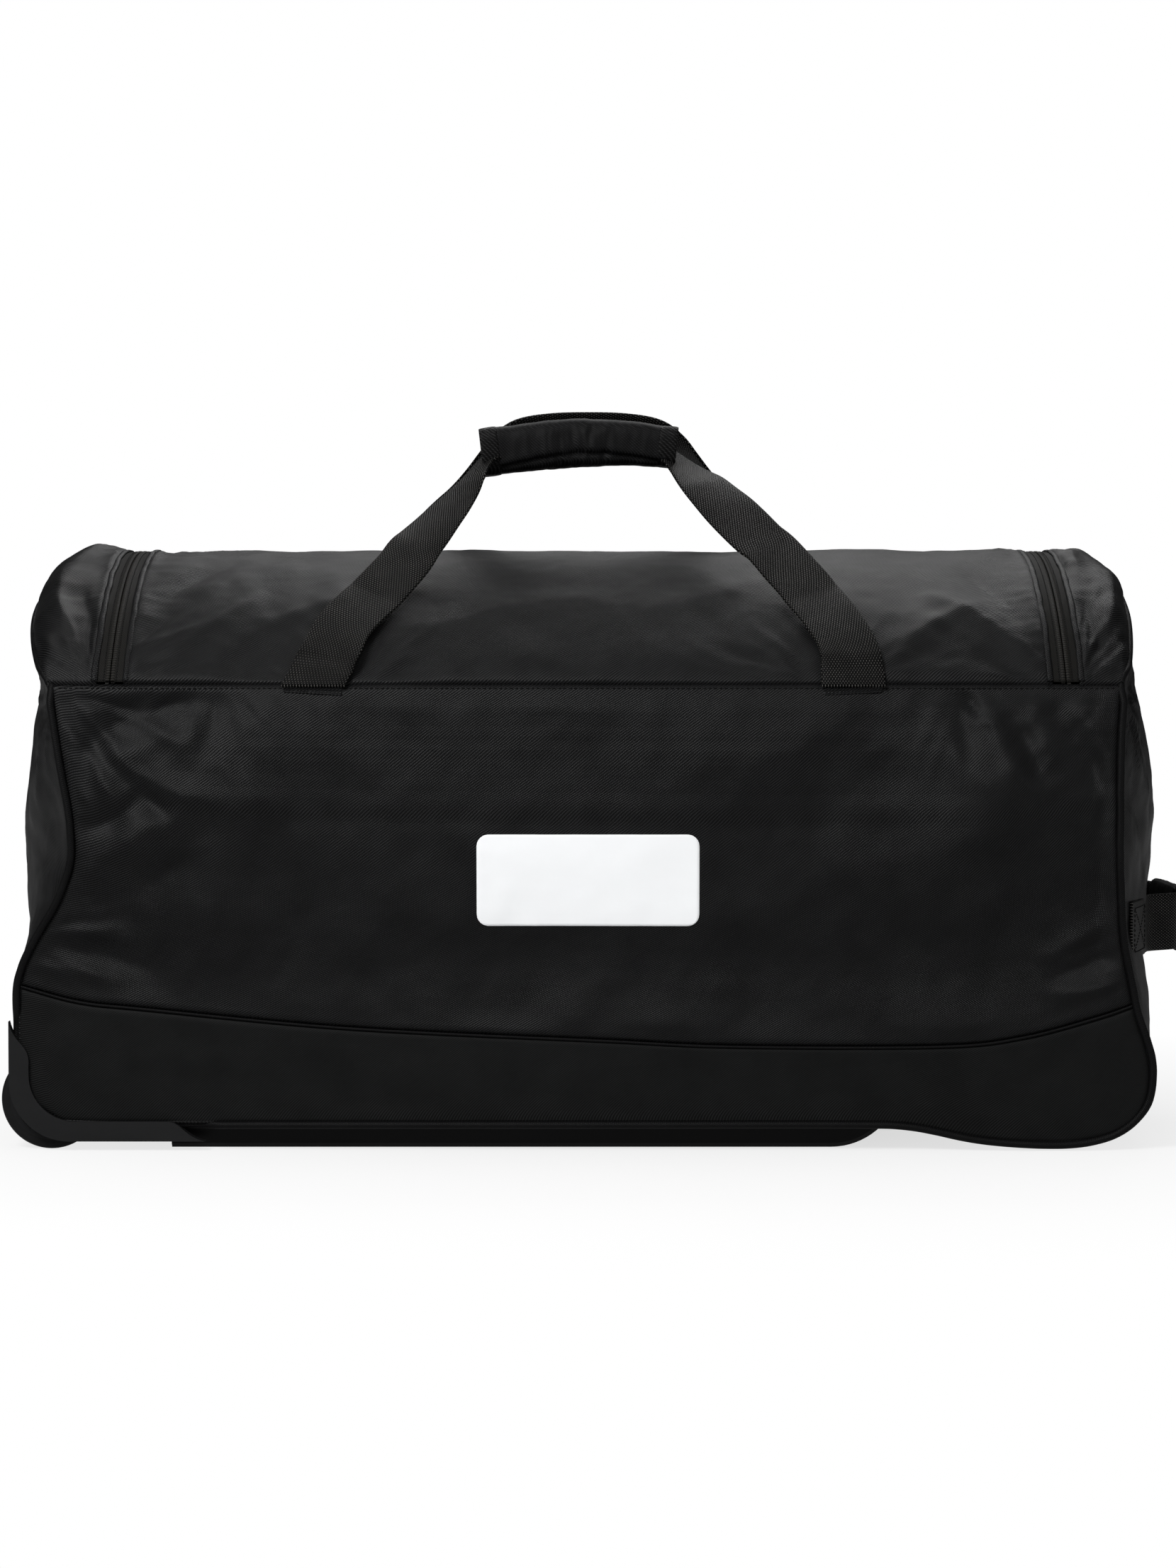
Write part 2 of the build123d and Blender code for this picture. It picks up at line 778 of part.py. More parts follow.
def pull_pad():
    """Padding wrapped round the middle of the pull handle."""
    with BuildPart() as pad:
        with BuildSketch(Plane.XZ.offset(-pull_pad_half_length)):
            with Locations((pull_middle_x, pull_handle_z)):
                RectangleRounded(pull_pad_depth, pull_pad_height, pull_pad_corner)
        extrude(amount=2 * pull_pad_half_length)
        add(pull_webbing_strap(), mode=Mode.SUBTRACT)
    return pad.part


# ---------------------------------------------------------------- zip sliders on the rear run
dome_centre_z = crown_height - (seam_half_depth**2 + (crown_height - seam_height) ** 2) / (
    2 * (crown_height - seam_height)
)
dome_radius = crown_height - dome_centre_z
zip_tilt = zip_rear_y / dome_radius
tape_top = dome_radius - zip_recess
slider_normal = (0, zip_tilt, sqrt(1 - zip_tilt**2))


def slider_plane(end, lift=0.0):
    """Plane on the zip's middle line at one slider, local X along the zip, local Y away from the lid."""
    middle = (
        end * slider_half_spacing,
        (tape_top + lift) * slider_normal[1],
        dome_centre_z + (tape_top + lift) * slider_normal[2],
    )
    return Plane(middle, x_dir=(1, 0, 0), z_dir=slider_normal)


plate_top = slider_lift + slider_plate
pin_lift = plate_top + bridge_height / 2


def slider_foot(end, lower_top):
    """Divider that stands upright between the tapes, and the lower plate, which ends at the divider."""
    length = slider_length - 2 * slider_corner
    middle = end * slider_half_spacing
    top_z = dome_centre_z + (tape_top + slider_lift) * slider_normal[2]
    low_y = zip_rear_y - slider_neck / 2
    high_y = zip_rear_y + slider_neck / 2
    with BuildPart() as foot:
        with BuildSketch(slider_plane(end, -lower_top - slider_plate)):
            Rectangle(length, slider_width)
        extrude(amount=slider_plate)
        add(column(-long, long, 0, long, -far, high_y), mode=Mode.INTERSECT)
        foot_z = foot.part.bounding_box().min.Z
        add(column(middle - length / 2, middle + length / 2, foot_z, top_z, low_y, high_y))
    return foot.part


def zip_slider(end):
    """Slider: upper plate, divider between the tapes, lower plate under the lid's tape, and puller bridge."""
    lower_top = tape_thickness + coil_thickness + slider_lift
    with BuildPart() as slider:
        with BuildSketch(slider_plane(end, slider_lift)):
            RectangleRounded(slider_length, slider_width, slider_corner)
        extrude(amount=slider_plate)
        add(slider_foot(end, lower_top))
        with BuildSketch(slider_plane(end, plate_top)):
            Rectangle(bridge_length, bridge_width)
        extrude(amount=bridge_height)
        add(pin_rod(end, pin_radius + pin_clearance, slider_width), mode=Mode.SUBTRACT)
    return slider.part


def pin_rod(end, radius, length):
    """A round rod along the puller's pin."""
    base = slider_plane(end, pin_lift)
    across = Plane(base.from_local_coords((0, length / 2, 0)), x_dir=(1, 0, 0), z_dir=-base.y_dir)
    with BuildPart() as rod:
        with BuildSketch(across):
            Circle(radius)
        extrude(amount=length)
    return rod.part


def zip_puller(end):
    """Puller: a pin through the slider's bridge, two arms, and a tab that lies along the zip."""
    outer = puller_width / 2
    gap = bridge_width / 2 + puller_side_clearance
    with BuildPart() as puller:
        with BuildSketch(slider_plane(end, pin_lift - puller_thickness / 2)):
            with Locations((end * (puller_length / 2 - puller_thickness), 0)):
                RectangleRounded(puller_length, puller_width, puller_corner)
            Rectangle(2 * puller_eye, 2 * gap, mode=Mode.SUBTRACT)
            with Locations((end * (puller_length - puller_width), 0)):
                Circle(puller_hole_radius, mode=Mode.SUBTRACT)
        extrude(amount=puller_thickness)
        add(pin_rod(end, pin_radius, 2 * outer))
    return puller.part


# ---------------------------------------------------------------- the whole bag
housing_front = wheel_housing()
well_room = wheel_well(wall_inner_y, housing_inner_y)


def to_rear(part):
    """The same piece on the other long side."""
    with BuildPart() as rear:
        add(part)
        mirror(about=Plane.XZ, mode=Mode.REPLACE)
    return rear.part


def cut(part, *tools):
    """A piece with others taken out of it."""
    with BuildPart() as result:
        add(part)
        for tool in tools:
            add(tool, mode=Mode.SUBTRACT)
    return result.part


housing_rear = to_rear(housing_front)
well_rear = to_rear(well_room)

# Walls, ends, bottom and hood
for side, where, housing in ((-1, "front", housing_front), (1, "rear", housing_rear)):
    keep(f"{where}_panel", wall_panel(side, accent=False))
    keep(f"{where}_accent_panel", wall_panel(side, accent=True))
    keep(f"{where}_piping", cut(piping(side), housing))
axle_front = wheel_axle()
keep("wheel_end_panel", cut(end_panel(-1), well_room, well_rear, axle_front, to_rear(axle_front)))
keep("pull_end_panel", end_panel(1))
keep("bottom_panel", cut(bottom_panel(), well_room, well_rear, rivets(-rail_y), rivets(rail_y)))

hood = hood_layer(0.0, fabric)
fixed_hood = cut(hood, zip_region(zip_band / 2))
hood_end_x = zip_half_length + zip_band / 2
for name, low_x, high_x in (
    ("hood_wheel_end", -long, -hood_end_x),
    ("hood_rear_strip", -hood_end_x, hood_end_x),
    ("hood_pull_end", hood_end_x, long),
):
    with BuildPart() as hood_piece:
        add(fixed_hood)
        add(column(low_x, high_x, 0, long), mode=Mode.INTERSECT)
    keep(name, hood_piece.part)

# Lid and zip
with BuildPart() as lid_fabric:
    add(hood)
    add(zip_region(-zip_band / 2), mode=Mode.INTERSECT)
keep("lid_panel", lid_trimmed(lid_fabric.part))
tape_bottom = zip_recess + tape_thickness
coil_bottom = tape_bottom + coil_thickness
tape_edge = zip_gap / 2
coil_edge = tape_edge + coil_width
keep("zip_tape_body", hood_band(zip_recess, tape_bottom, tape_edge, zip_band / 2))
keep("zip_tape_lid", lid_trimmed(hood_band(zip_recess, tape_bottom, -zip_band / 2, -tape_edge)))
keep("zip_coil_body", hood_band(tape_bottom, coil_bottom, tape_edge, coil_edge))
keep("zip_coil_lid", lid_trimmed(hood_band(tape_bottom, coil_bottom, -coil_edge, -tape_edge)))
for end, where in ((-1, "wheel_side"), (1, "pull_side")):
    keep(f"zip_slider_{where}", zip_slider(end))
    keep(f"zip_puller_{where}", zip_puller(end))

# Trim and handles
keep("name_patch", name_patch())
keep("front_handle_webbing", front_webbing())
keep("front_grip_sleeve", grip_sleeve())
keep("rear_handle_webbing", rear_webbing())
for end, where in ((-1, "wheel_side"), (1, "pull_side")):
    keep(f"grip_binding_{where}", grip_binding(end))
    for side, wall in ((-1, "front"), (1, "rear")):
        keep(f"{wall}_strap_anchor_{where}", strap_anchor(end, side))
keep("pull_handle_webbing", pull_webbing_strap())
keep("pull_handle_pad", pull_pad())

# Base
keep("base_board", base_board())
for y, where in ((-rail_y, "front"), (rail_y, "rear")):
    keep(f"skid_rail_{where}", skid_rail(y))
    keep(f"rail_rivets_{where}", rivets(y))

# Wheels
outer_bearing = wheel_bearing(wheel_outer_y + bearing_width)
inner_bearing = wheel_bearing(wheel_outer_y + wheel_width)
running_gear = {
    "wheel_housing": housing_front,
    "wheel_axle": axle_front,
    "wheel_tread": wheel_tread(),
    "wheel_hub": wheel_hub(),
    "outer_bearing": outer_bearing,
    "inner_bearing": inner_bearing,
}
for name, part in running_gear.items():
    keep(f"{name}_front", part)
    keep(f"{name}_rear", to_rear(part))

# The origin goes under the middle of the overall length
low_end = min(wheel_axis_x - wheel_radius, bag_outside.bounding_box().min.X)
high_end = pull_middle_x + pull_pad_depth / 2
to_origin = Location((-(low_end + high_end) / 2, 0, 0))

os.makedirs("parts", exist_ok=True)
for name, part in pieces.items():
    with BuildPart() as placed:
        with Locations(to_origin):
            add(part)
    placed.part.label = name
    export_step(placed.part, f"parts/{name}.step")
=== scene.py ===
import math

import bpy
import numpy as np
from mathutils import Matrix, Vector, noise


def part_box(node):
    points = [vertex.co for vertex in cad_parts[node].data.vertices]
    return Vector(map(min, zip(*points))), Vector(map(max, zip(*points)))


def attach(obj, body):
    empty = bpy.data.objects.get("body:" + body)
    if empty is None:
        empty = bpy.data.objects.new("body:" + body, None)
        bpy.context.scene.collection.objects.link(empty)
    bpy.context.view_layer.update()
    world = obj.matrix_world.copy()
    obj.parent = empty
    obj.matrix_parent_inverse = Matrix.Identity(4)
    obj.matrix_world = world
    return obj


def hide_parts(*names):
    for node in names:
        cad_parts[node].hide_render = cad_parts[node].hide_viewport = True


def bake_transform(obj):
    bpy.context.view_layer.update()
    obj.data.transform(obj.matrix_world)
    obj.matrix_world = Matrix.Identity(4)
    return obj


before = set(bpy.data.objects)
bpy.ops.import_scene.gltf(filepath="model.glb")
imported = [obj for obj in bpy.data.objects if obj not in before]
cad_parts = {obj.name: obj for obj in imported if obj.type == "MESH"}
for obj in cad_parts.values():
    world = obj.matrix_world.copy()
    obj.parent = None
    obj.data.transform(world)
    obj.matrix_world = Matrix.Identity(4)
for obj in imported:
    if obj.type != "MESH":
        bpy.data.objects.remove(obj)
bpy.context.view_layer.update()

# Wheeled hockey equipment bag. The skin, webbing, pads and piping are modelled here over the
# CAD frame. Shapes are worked out in millimetres from the middle of the bag (X along it, -Y to
# the front, Z up from the floor), and place() puts them into the frame. A side is -1 for the
# wheel end or the front, and 1 for the pull-handle end or the rear.

# ---------------- sizes from the frame
MM = 0.001
lid_low, lid_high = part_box("lid_panel")
middle_x = (lid_low[0] + lid_high[0]) / 2
seam_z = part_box("front_panel")[1][2] / MM
crown_z = lid_high[2] / MM
seam_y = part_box("hood_pull_end")[1][1] / MM
wall_y = -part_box("front_accent_panel")[0][1] / MM
band_x = (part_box("hood_rear_strip")[1][0] - middle_x) / MM  # fixed hood ends start here
floor_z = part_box("base_board")[0][2] / MM - 2.0  # underside of the bag over the rails
zip_half = 9.0  # tape that shows each side of the zip's middle
zip_x = band_x - zip_half
zip_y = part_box("zip_tape_body")[1][1] / MM - zip_half
zip_corner = 52.0
# Middle height and radius of the hood's arc
dome_z = crown_z - (seam_y**2 + (crown_z - seam_z) ** 2) / (2 * (crown_z - seam_z))
dome_r = crown_z - dome_z
seam_angle = math.asin(seam_y / dome_r)
seam_arc = dome_r * seam_angle  # from the crown over the hood to its seam
pad_x = (np.mean(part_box("pull_handle_pad"), axis=0)[0] - middle_x) / MM


def place(points):
    """Bag millimetres to frame metres."""
    out = np.array(points, dtype=float) * MM
    out[..., 0] += middle_x
    return out


# ---------------- curves and grids
def points_of(*parts):
    """Points from their coordinates, each of them a number or an array."""
    return np.stack(np.broadcast_arrays(*parts), axis=-1)


def unit(vectors):
    """The vectors with a length of 1."""
    return vectors / np.maximum(np.linalg.norm(vectors, axis=-1, keepdims=True), 1e-9)


def distance_along(points):
    """How far each point is from the first, step by step."""
    steps = np.linalg.norm(np.diff(points, axis=0), axis=-1)
    return np.concatenate([0 * steps[:1], np.cumsum(steps, axis=0)])


def even(points, samples):
    """The same line with evenly spaced points."""
    points = np.asarray(points, dtype=float)
    along = distance_along(points)
    want = np.linspace(0, along[-1], samples)
    return np.stack([np.interp(want, along, column) for column in points.T], axis=1)


def curve(points, samples=160):
    """A smooth curve through a few chosen points, evenly spaced along its length."""
    p = np.asarray(points, dtype=float)
    ends = np.vstack([2 * p[0] - p[1], p, 2 * p[-1] - p[-2]])
    t = np.linspace(0, 1, 24, endpoint=False)[:, None]
    rows = []
    for a, b, c, d in zip(ends, ends[1:], ends[2:], ends[3:]):
        bend = (2 * a - 5 * b + 4 * c - d) * t**2 + (3 * b - a - 3 * c + d) * t**3
        rows.append(0.5 * (2 * b + (c - a) * t + bend))
    return even(np.vstack([*rows, p[-1:]]), samples)


def table(pairs):
    """A smooth function through (input, value) pairs."""
    line = curve(pairs, 400)
    line = line[np.argsort(line[:, 0])]

    def value(x):
        return np.interp(x, line[:, 0], line[:, 1])

    return value


def coons(bottom, top, left, right, columns, rows):
    """A grid of points filled in between four edge lines."""
    b, t = even(bottom, columns), even(top, columns)
    l, r = even(left, rows), even(right, rows)
    u = np.linspace(0, 1, columns)[None, :, None]
    v = np.linspace(0, 1, rows)[:, None, None]
    ruled = (1 - v) * b[None] + v * t[None] + (1 - u) * l[:, None] + u * r[:, None]
    corners = (1 - u) * (1 - v) * b[0] + u * (1 - v) * b[-1] + (1 - u) * v * t[0] + u * v * t[-1]
    return ruled - corners


def smooth(x):
    """0 below 0, 1 above 1, and a soft step in between."""
    x = np.clip(x, 0, 1)
    return x * x * (3 - 2 * x)


def bump(x, middle, width):
    """1 at the middle, dying away over the width on both sides."""
    return np.exp(-(((x - middle) / width) ** 2))


def clouds(a, b, scale, seed, octaves=3):
    """Soft noise over two coordinates in millimetres, about -1 to 1."""
    a, b = np.broadcast_arrays(a, b)
    flat = zip(np.ravel(a) / scale, np.ravel(b) / scale)
    values = [noise.fractal(Vector((p, q, seed)), 0.9, 2.1, octaves) for p, q in flat]
    return np.reshape(values, a.shape)


def fold(a, b, start, end, width, height, bow=0.0):
    """A soft ridge, or a crease if height is negative, that dies away at both ends."""
    start, end = np.asarray(start, float), np.asarray(end, float)
    length = np.hypot(*(end - start))
    run = (end - start) / length
    t = np.clip(((a - start[0]) * run[0] + (b - start[1]) * run[1]) / length, 0, 1)
    across = (b - start[1]) * run[0] - (a - start[0]) * run[1] - bow * np.sin(t * math.pi)
    return height * np.sin(t * math.pi) ** 0.8 * np.exp(-(np.abs(across / width) ** 1.5))


def fanned(a, b, centre, reach, height, seed):
    """Creases that fan out from a place where the cloth is pulled, and die away with distance."""
    angle = np.arctan2(b - centre[1], a - centre[0])
    distance = np.hypot(a - centre[0], b - centre[1])
    ridges = 0.8 - 2.6 * np.abs(clouds(angle * 62, distance * 0.30, 20, seed, 2))
    return height * ridges * smooth(distance / 45) * bump(distance, 0, reach)


def fold_all(a, b, folds):
    """The sum of many folds."""
    return sum(fold(a, b, *each) for each in folds)


def fanned_all(a, b, pulls):
    """The sum of many fans of creases."""
    return sum(fanned(a, b, *each) for each in pulls)


def edge_distance(grid):
    """How far a grid's points are from its first row, its first column and its nearest edge."""
    rows, cols = distance_along(grid), distance_along(grid.swapaxes(0, 1)).T
    return rows, cols, np.minimum.reduce([rows, rows[-1:] - rows, cols, cols[:, -1:] - cols])


def normals(grid):
    """Unit normals of a grid, on the side of columns x rows."""
    return unit(np.cross(np.gradient(grid, axis=1), np.gradient(grid, axis=0)))


def facing(*way):
    """An outward direction that is the same everywhere."""

    def outward(points):
        return np.broadcast_to(np.array(way, float), points.shape)

    return outward


front, rear, under = facing(0, -1, 0), facing(0, 1, 0), facing(0, 0, -1)


def tucked(grid, relief, outward, seam=2.2, depth=1.6, ease=16.0):
    """The grid pushed out by relief, which fades at the border, where the cloth turns in to its
    seam."""
    near = edge_distance(grid)[2]
    turn = depth * (1 - smooth(near / seam)) ** 2
    n = normals(grid)
    side = np.sign(np.sum(n * outward(grid), axis=2, keepdims=True))
    return grid + n * side * (relief * smooth(near / ease) - turn)[..., None]


# ---------------- shape of the skin
# Half the depth of the walls for a height
wall_depth = table([(-20, wall_y), (60, wall_y), (118, wall_y + 0.6), (165, wall_y + 7),
                    (210, wall_y + 11), (262, wall_y + 10), (seam_z, seam_y)])

# Piped corners seen from the front: (x, z) from the middle of the rounded base corner up
wheel_corner = curve([(-373, 31), (-382, 45), (-386, 64), (-386.5, 97), (-384.5, 119), (-375, 140),
                      (-359, 167), (-348, 196), (-348, 222), (-352.5, 250), (-358, 281), (-363, seam_z)])
pull_corner = curve([(371, 20.5), (379, 32), (382.5, 52), (379, 72), (372.5, 92), (366, 121), (361, 146),
                     (359, 170), (357.5, 205), (357.5, 252), (358.5, 285), (361, seam_z)])
corners = {-1: wheel_corner, 1: pull_corner}
base_line = curve([(-373, 31), (-360, 22), (-340, floor_z), (-200, floor_z), (0, floor_z), (190, floor_z),
                   (225, 15.5), (262, 8), (300, 4.6), (332, 5), (355, 10.5), (371, 20.5)], 260)

# How far each end stands out from the middle of the bag for a height: at the piped corner, and
# halfway between front and rear
end_edge = {
    -1: table([(z, -x) for x, z in wheel_corner[::8]] + [(345, 373), (368, 377), (390, 377), (405, 371)]),
    1: table([(z, x) for x, z in pull_corner[::8]] + [(345, 362), (368, 365), (390, 366), (405, 361)]),
}
end_middle = {
    -1: table([(20, 376), (32, 384), (60, 389), (120, 395), (170, 402), (222, 403), (268, 398),
               (seam_z, 390), (366, 388), (392, 382), (410, 372)]),
    1: table([(8, 366), (20, 376), (32, 384), (60, 389), (120, 395), (170, 402), (222, 405), (268, 401),
              (seam_z, 391), (366, 378), (392, 372), (410, 364)]),
}


def end_x(side, y, z):
    """X of an end's surface."""
    edge, middle = end_edge[side](z), end_middle[side](z)
    power = 2 + 1.6 * smooth((150 - z) / 90)
    share = np.clip(np.abs(y) / wall_depth(np.minimum(z, seam_z)), 0, 1) ** power
    return side * (middle + (edge - middle) * share)


def dome(x, y, lift=0.0):
    """Points of the hood above (x, y), standing out by lift."""
    angle = np.arcsin(np.clip(y / dome_r, -1, 1))
    radius = dome_r + lift
    return points_of(x, radius * np.sin(angle), dome_z + radius * np.cos(angle))


def on_dome(x, s):
    """Points of the hood, s over the curve from its crown."""
    return dome(x, dome_r * np.sin(s / dome_r))


def dome_out(p):
    """The hood's outward direction."""
    return unit((p - (0, 0, dome_z)) * (0, 1, 1))


def arc_of(y):
    """Distance over the hood from its crown, for a plan Y."""
    return dome_r * np.arcsin(np.clip(y / dome_r, -1, 1))


def from_zip(x, y):
    """Distance from the middle line of the zip, negative on the lid."""
    qx = np.abs(x) - (zip_x - zip_corner)
    qy = y - (zip_y - zip_corner)
    outside = np.hypot(np.maximum(qx, 0), np.maximum(qy, 0))
    return outside + np.minimum(np.maximum(qx, qy), 0) - zip_corner


# ---------------- making meshes
def mesh_object(name, verts, faces, weave=None):
    """An object from points and faces. weave is a place in the cloth for each point, in metres."""
    mesh = bpy.data.meshes.new(name)
    mesh.from_pydata([tuple(v) for v in verts], [], faces)
    if weave is not None:
        layer = mesh.uv_layers.new(name="weave")
        index = np.empty(len(mesh.loops), dtype=np.int32)
        mesh.loops.foreach_get("vertex_index", index)
        layer.data.foreach_set("uv", np.asarray(weave)[index].ravel())
    mesh.shade_smooth()
    piece = bpy.data.objects.new(name, mesh)
    bpy.context.scene.collection.objects.link(piece)
    return piece


def grid_faces(rows, cols, flip):
    """The faces of a grid of points."""
    faces = []
    for r in range(rows - 1):
        for a in range(r * cols, r * cols + cols - 1):
            quad = (a, a + 1, a + 1 + cols, a + cols)
            faces.append(quad[::-1] if flip else quad)
    return faces


def sleeve_faces(start, rings, around):
    """The faces of a tube of rings, closed at both ends, whose points start at that index."""
    faces = []
    end = start + rings * around
    for ring in range(start, end - around, around):
        for k in range(around):
            a, b = ring + k, ring + (k + 1) % around
            faces.append((a, b, b + around, a + around))
    faces.append(tuple(range(start, start + around))[::-1])
    faces.append(tuple(range(end - around, end)))
    return faces


def cloth_panel(name, grid, outward, thickness=2.0, weave=None):
    """A sewn panel from a grid of points: its face outside, its thickness inside. weave is a
    place (across, along) in its cloth for each point."""
    rows, cols = grid.shape[:2]
    centre = np.s_[rows // 2, cols // 2]
    flip = np.dot(normals(grid)[centre], outward(grid)[centre]) < 0
    r, c, _ = edge_distance(grid)
    uv = (points_of(c, r) if weave is None else weave).reshape(-1, 2) * MM
    piece = mesh_object(name, place(grid).reshape(-1, 3), grid_faces(rows, cols, flip), uv)
    solid = piece.modifiers.new("thickness", "SOLIDIFY")
    solid.thickness = thickness * MM
    solid.offset = -1
    solid.use_even_offset = False
    return piece


def frames_along(path, up):
    """Unit sideways and upward directions along a path."""
    tangent = unit(np.gradient(path, axis=0))
    side = unit(np.cross(tangent, np.broadcast_to(up, path.shape)))
    return side, np.cross(side, tangent)


def swept(name, path, sides, lifts, outline):
    """A closed section carried along a path. outline is (sideways, lift) points for each step."""
    steps, around = outline.shape[:2]
    points = path[:, None] + outline[..., :1] * sides[:, None] + outline[..., 1:] * lifts[:, None]
    uv = points_of(outline[..., 0], distance_along(path)[:, None])
    return mesh_object(name, place(points).reshape(-1, 3), sleeve_faces(0, steps, around),
                       uv.reshape(-1, 2) * MM)


def ring_of(count):
    """Angles of a circle's points, and the points."""
    angle = np.linspace(0, 2 * math.pi, count, endpoint=False)
    return angle, points_of(np.cos(angle), np.sin(angle))


def tube(name, path, radius, around=12):
    """A round cord along a path."""
    side, lift = frames_along(path, (0.13, 0.97, 0.21))
    outline = np.broadcast_to(ring_of(around)[1] * radius, (len(path), around, 2))
    return swept(name, path, side, lift, outline)


def ribbon(name, path, across, widths, thickness):
    """A flat woven strap: across is its width direction at each point of the path."""
    across = unit(across)
    lift = unit(np.cross(across, np.gradient(path, axis=0)))
    half = thickness / 2
    flat = points_of(np.linspace(-1, 1, 9), half)
    turn = np.linspace(0, math.pi, 5)[1:-1]
    rounded = points_of(half * np.sin(turn), half * np.cos(turn))
    section = []
    for width in np.broadcast_to(widths, len(path)):
        reach = width / 2 - half
        one_half = np.vstack([flat * (reach, 1), rounded + (reach, 0)])
        section.append(np.vstack([one_half, -one_half]))
    return swept(name, path, across, lift, np.array(section))


# The four rings of a stitch: place along it, share of its radius, and how far down in radii
stitch_rings = np.array([(-0.5, 0.4, 0.9), (-0.27, 1, 0.1), (0.27, 1, 0.1), (0.5, 0.4, 0.9)])


def stitch_row(name, path, outward, pitch=3.6, length=2.5, radius=0.4, rise=0.25):
    """A row of separate thread stitches lying on a path, standing rise out of the cloth."""
    count = max(2, int(distance_along(path)[-1] / pitch))
    fine = even(path, count * 2 + 1)
    middle, ahead = fine[1::2], unit(fine[2::2] - fine[:-2:2])
    up = outward(middle)
    side = np.cross(ahead, up)
    share, fat, drop = stitch_rings.T
    centre = middle[:, None] + ahead[:, None] * (length * share)[:, None]
    centre = centre + up[:, None] * (rise - drop * radius)[:, None]
    rings, around = len(stitch_rings), 6
    c, s = ring_of(around)[1].T[..., None]
    ring = c * side[:, None, None] + s * up[:, None, None]
    verts = place(centre[:, :, None] + ring * (radius * fat)[:, None, None]).reshape(-1, 3)
    faces = []
    for start in range(0, len(verts), rings * around):
        faces += sleeve_faces(start, rings, around)
    return mesh_object(name, verts, faces, np.zeros((len(verts), 2)))


def finish(piece, body, slot, *nodes, look=None):
    """Gives a piece its look, hides the CAD nodes it stands for, and joins it to its body, except on the
    lid, where it only bakes its place into its mesh.
    """
    piece.data.materials.append(looks[look or slot])
    if nodes:
        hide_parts(*nodes)
    if body == "lid":
        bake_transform(piece)
    else:
        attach(piece, body)


def sew(name, path, outward, body="bag", **sizes):
    """A row of stitches that rides on a body."""
    finish(stitch_row(name, path, outward, **sizes), body, None, look="thread")


# ---------------- materials
class Nodes:
    """The nodes of a material or of the sky. What feeds an input is a number, a vector, a colour
    or a (node, output) pair."""

    def __init__(self, tree):
        self.tree = tree

    def feed(self, socket, source):
        """Joins a pair to an input, or sets the input's value."""
        if isinstance(source, tuple) and isinstance(source[0], bpy.types.Node):
            self.tree.links.new(source[0].outputs[source[1]], socket)
        elif socket.type == "RGBA":
            socket.default_value = (*source, 1)
        else:
            socket.default_value = source

    def node(self, kind, **values):
        """A new node with these inputs and settings. An input's name has _ for a space."""
        made = self.tree.nodes.new(kind)
        for key, value in values.items():
            socket = key.replace("_", " ")
            if socket in made.inputs:
                self.feed(made.inputs[socket], value)
            else:
                setattr(made, key, value)
        return made

    def math(self, operation, *terms):
        """A step of arithmetic, with its result kept between 0 and 1."""
        made = self.node("ShaderNodeMath", operation=operation, use_clamp=True)
        for socket, term in zip(made.inputs, terms):
            self.feed(socket, term)
        return made, "Value"


class Look(Nodes):
    """A node material built step by step."""

    def __init__(self, name, colour, roughness):
        self.material = bpy.data.materials.new(f"{name}_look")
        self.material.use_nodes = True
        super().__init__(self.material.node_tree)
        self.shader = self.tree.nodes["Principled BSDF"]
        self.put(Base_Color=colour, Roughness=roughness)

    def put(self, **values):
        """Feeds the shader's inputs, whose names have _ for a space."""
        for key, value in values.items():
            self.feed(self.shader.inputs[key.replace("_", " ")], value)

    def coordinates(self, kind="object", scale=(1, 1, 1), turn=(0, 0, 0)):
        """Places in the cloth's weave or in the object, in metres times scale."""
        if kind == "weave":
            source = self.node("ShaderNodeUVMap", uv_map="weave"), "UV"
        else:
            source = self.node("ShaderNodeTexCoord"), "Object"
        return self.node("ShaderNodeMapping", Vector=source, Scale=scale, Rotation=turn), "Vector"

    def wave(self, places, scale, distortion=0.0, direction="X"):
        """Soft bands."""
        made = self.node("ShaderNodeTexWave", Vector=places, Scale=scale, Distortion=distortion,
                         bands_direction=direction)
        return made, "Fac"

    def noise(self, places, scale, detail):
        """Cloudy spots."""
        return self.node("ShaderNodeTexNoise", Vector=places, Scale=scale, Detail=detail), "Fac"

    def mixed(self, factor, low, high):
        """A colour between two colours."""
        return self.node("ShaderNodeMix", data_type="RGBA", Factor=factor, A=low, B=high), "Result"

    def colours(self, factor, low, high):
        """Base colour between two colours."""
        self.put(Base_Color=self.mixed(factor, low, high))

    def roughness(self, factor, low, high):
        """Roughness between two values."""
        spread = self.node("ShaderNodeMapRange", Value=factor, To_Min=low, To_Max=high)
        self.put(Roughness=(spread, "Result"))

    def raised(self, height, strength, distance):
        """A fine relief, distance metres high at full strength."""
        relief = self.node("ShaderNodeBump", Height=height, Strength=strength, Distance=distance)
        self.put(Normal=(relief, "Normal"))


SPACING = 314.16  # scale of a Wave Texture with bands 1 mm apart
PICK_SCALE = 0.4443  # bands of a Wave Texture, slanted both ways, cross in staggered rows, 1 apart
COIL_HALF = 0.0030  # metres of tape over the zip's coil, each side of its middle
COIL_PITCH = 1.35  # millimetres from turn to turn

# How a twill lies: turn of its ribs, direction of their bands, and turn of its threads
twill_lay = {
    "weave": ((0, 0, 0.95), "X", (0, 0, -0.30)),
    "object": ((0, 0, 0), "DIAGONAL", (0.4, 1.2, 1.1)),
}


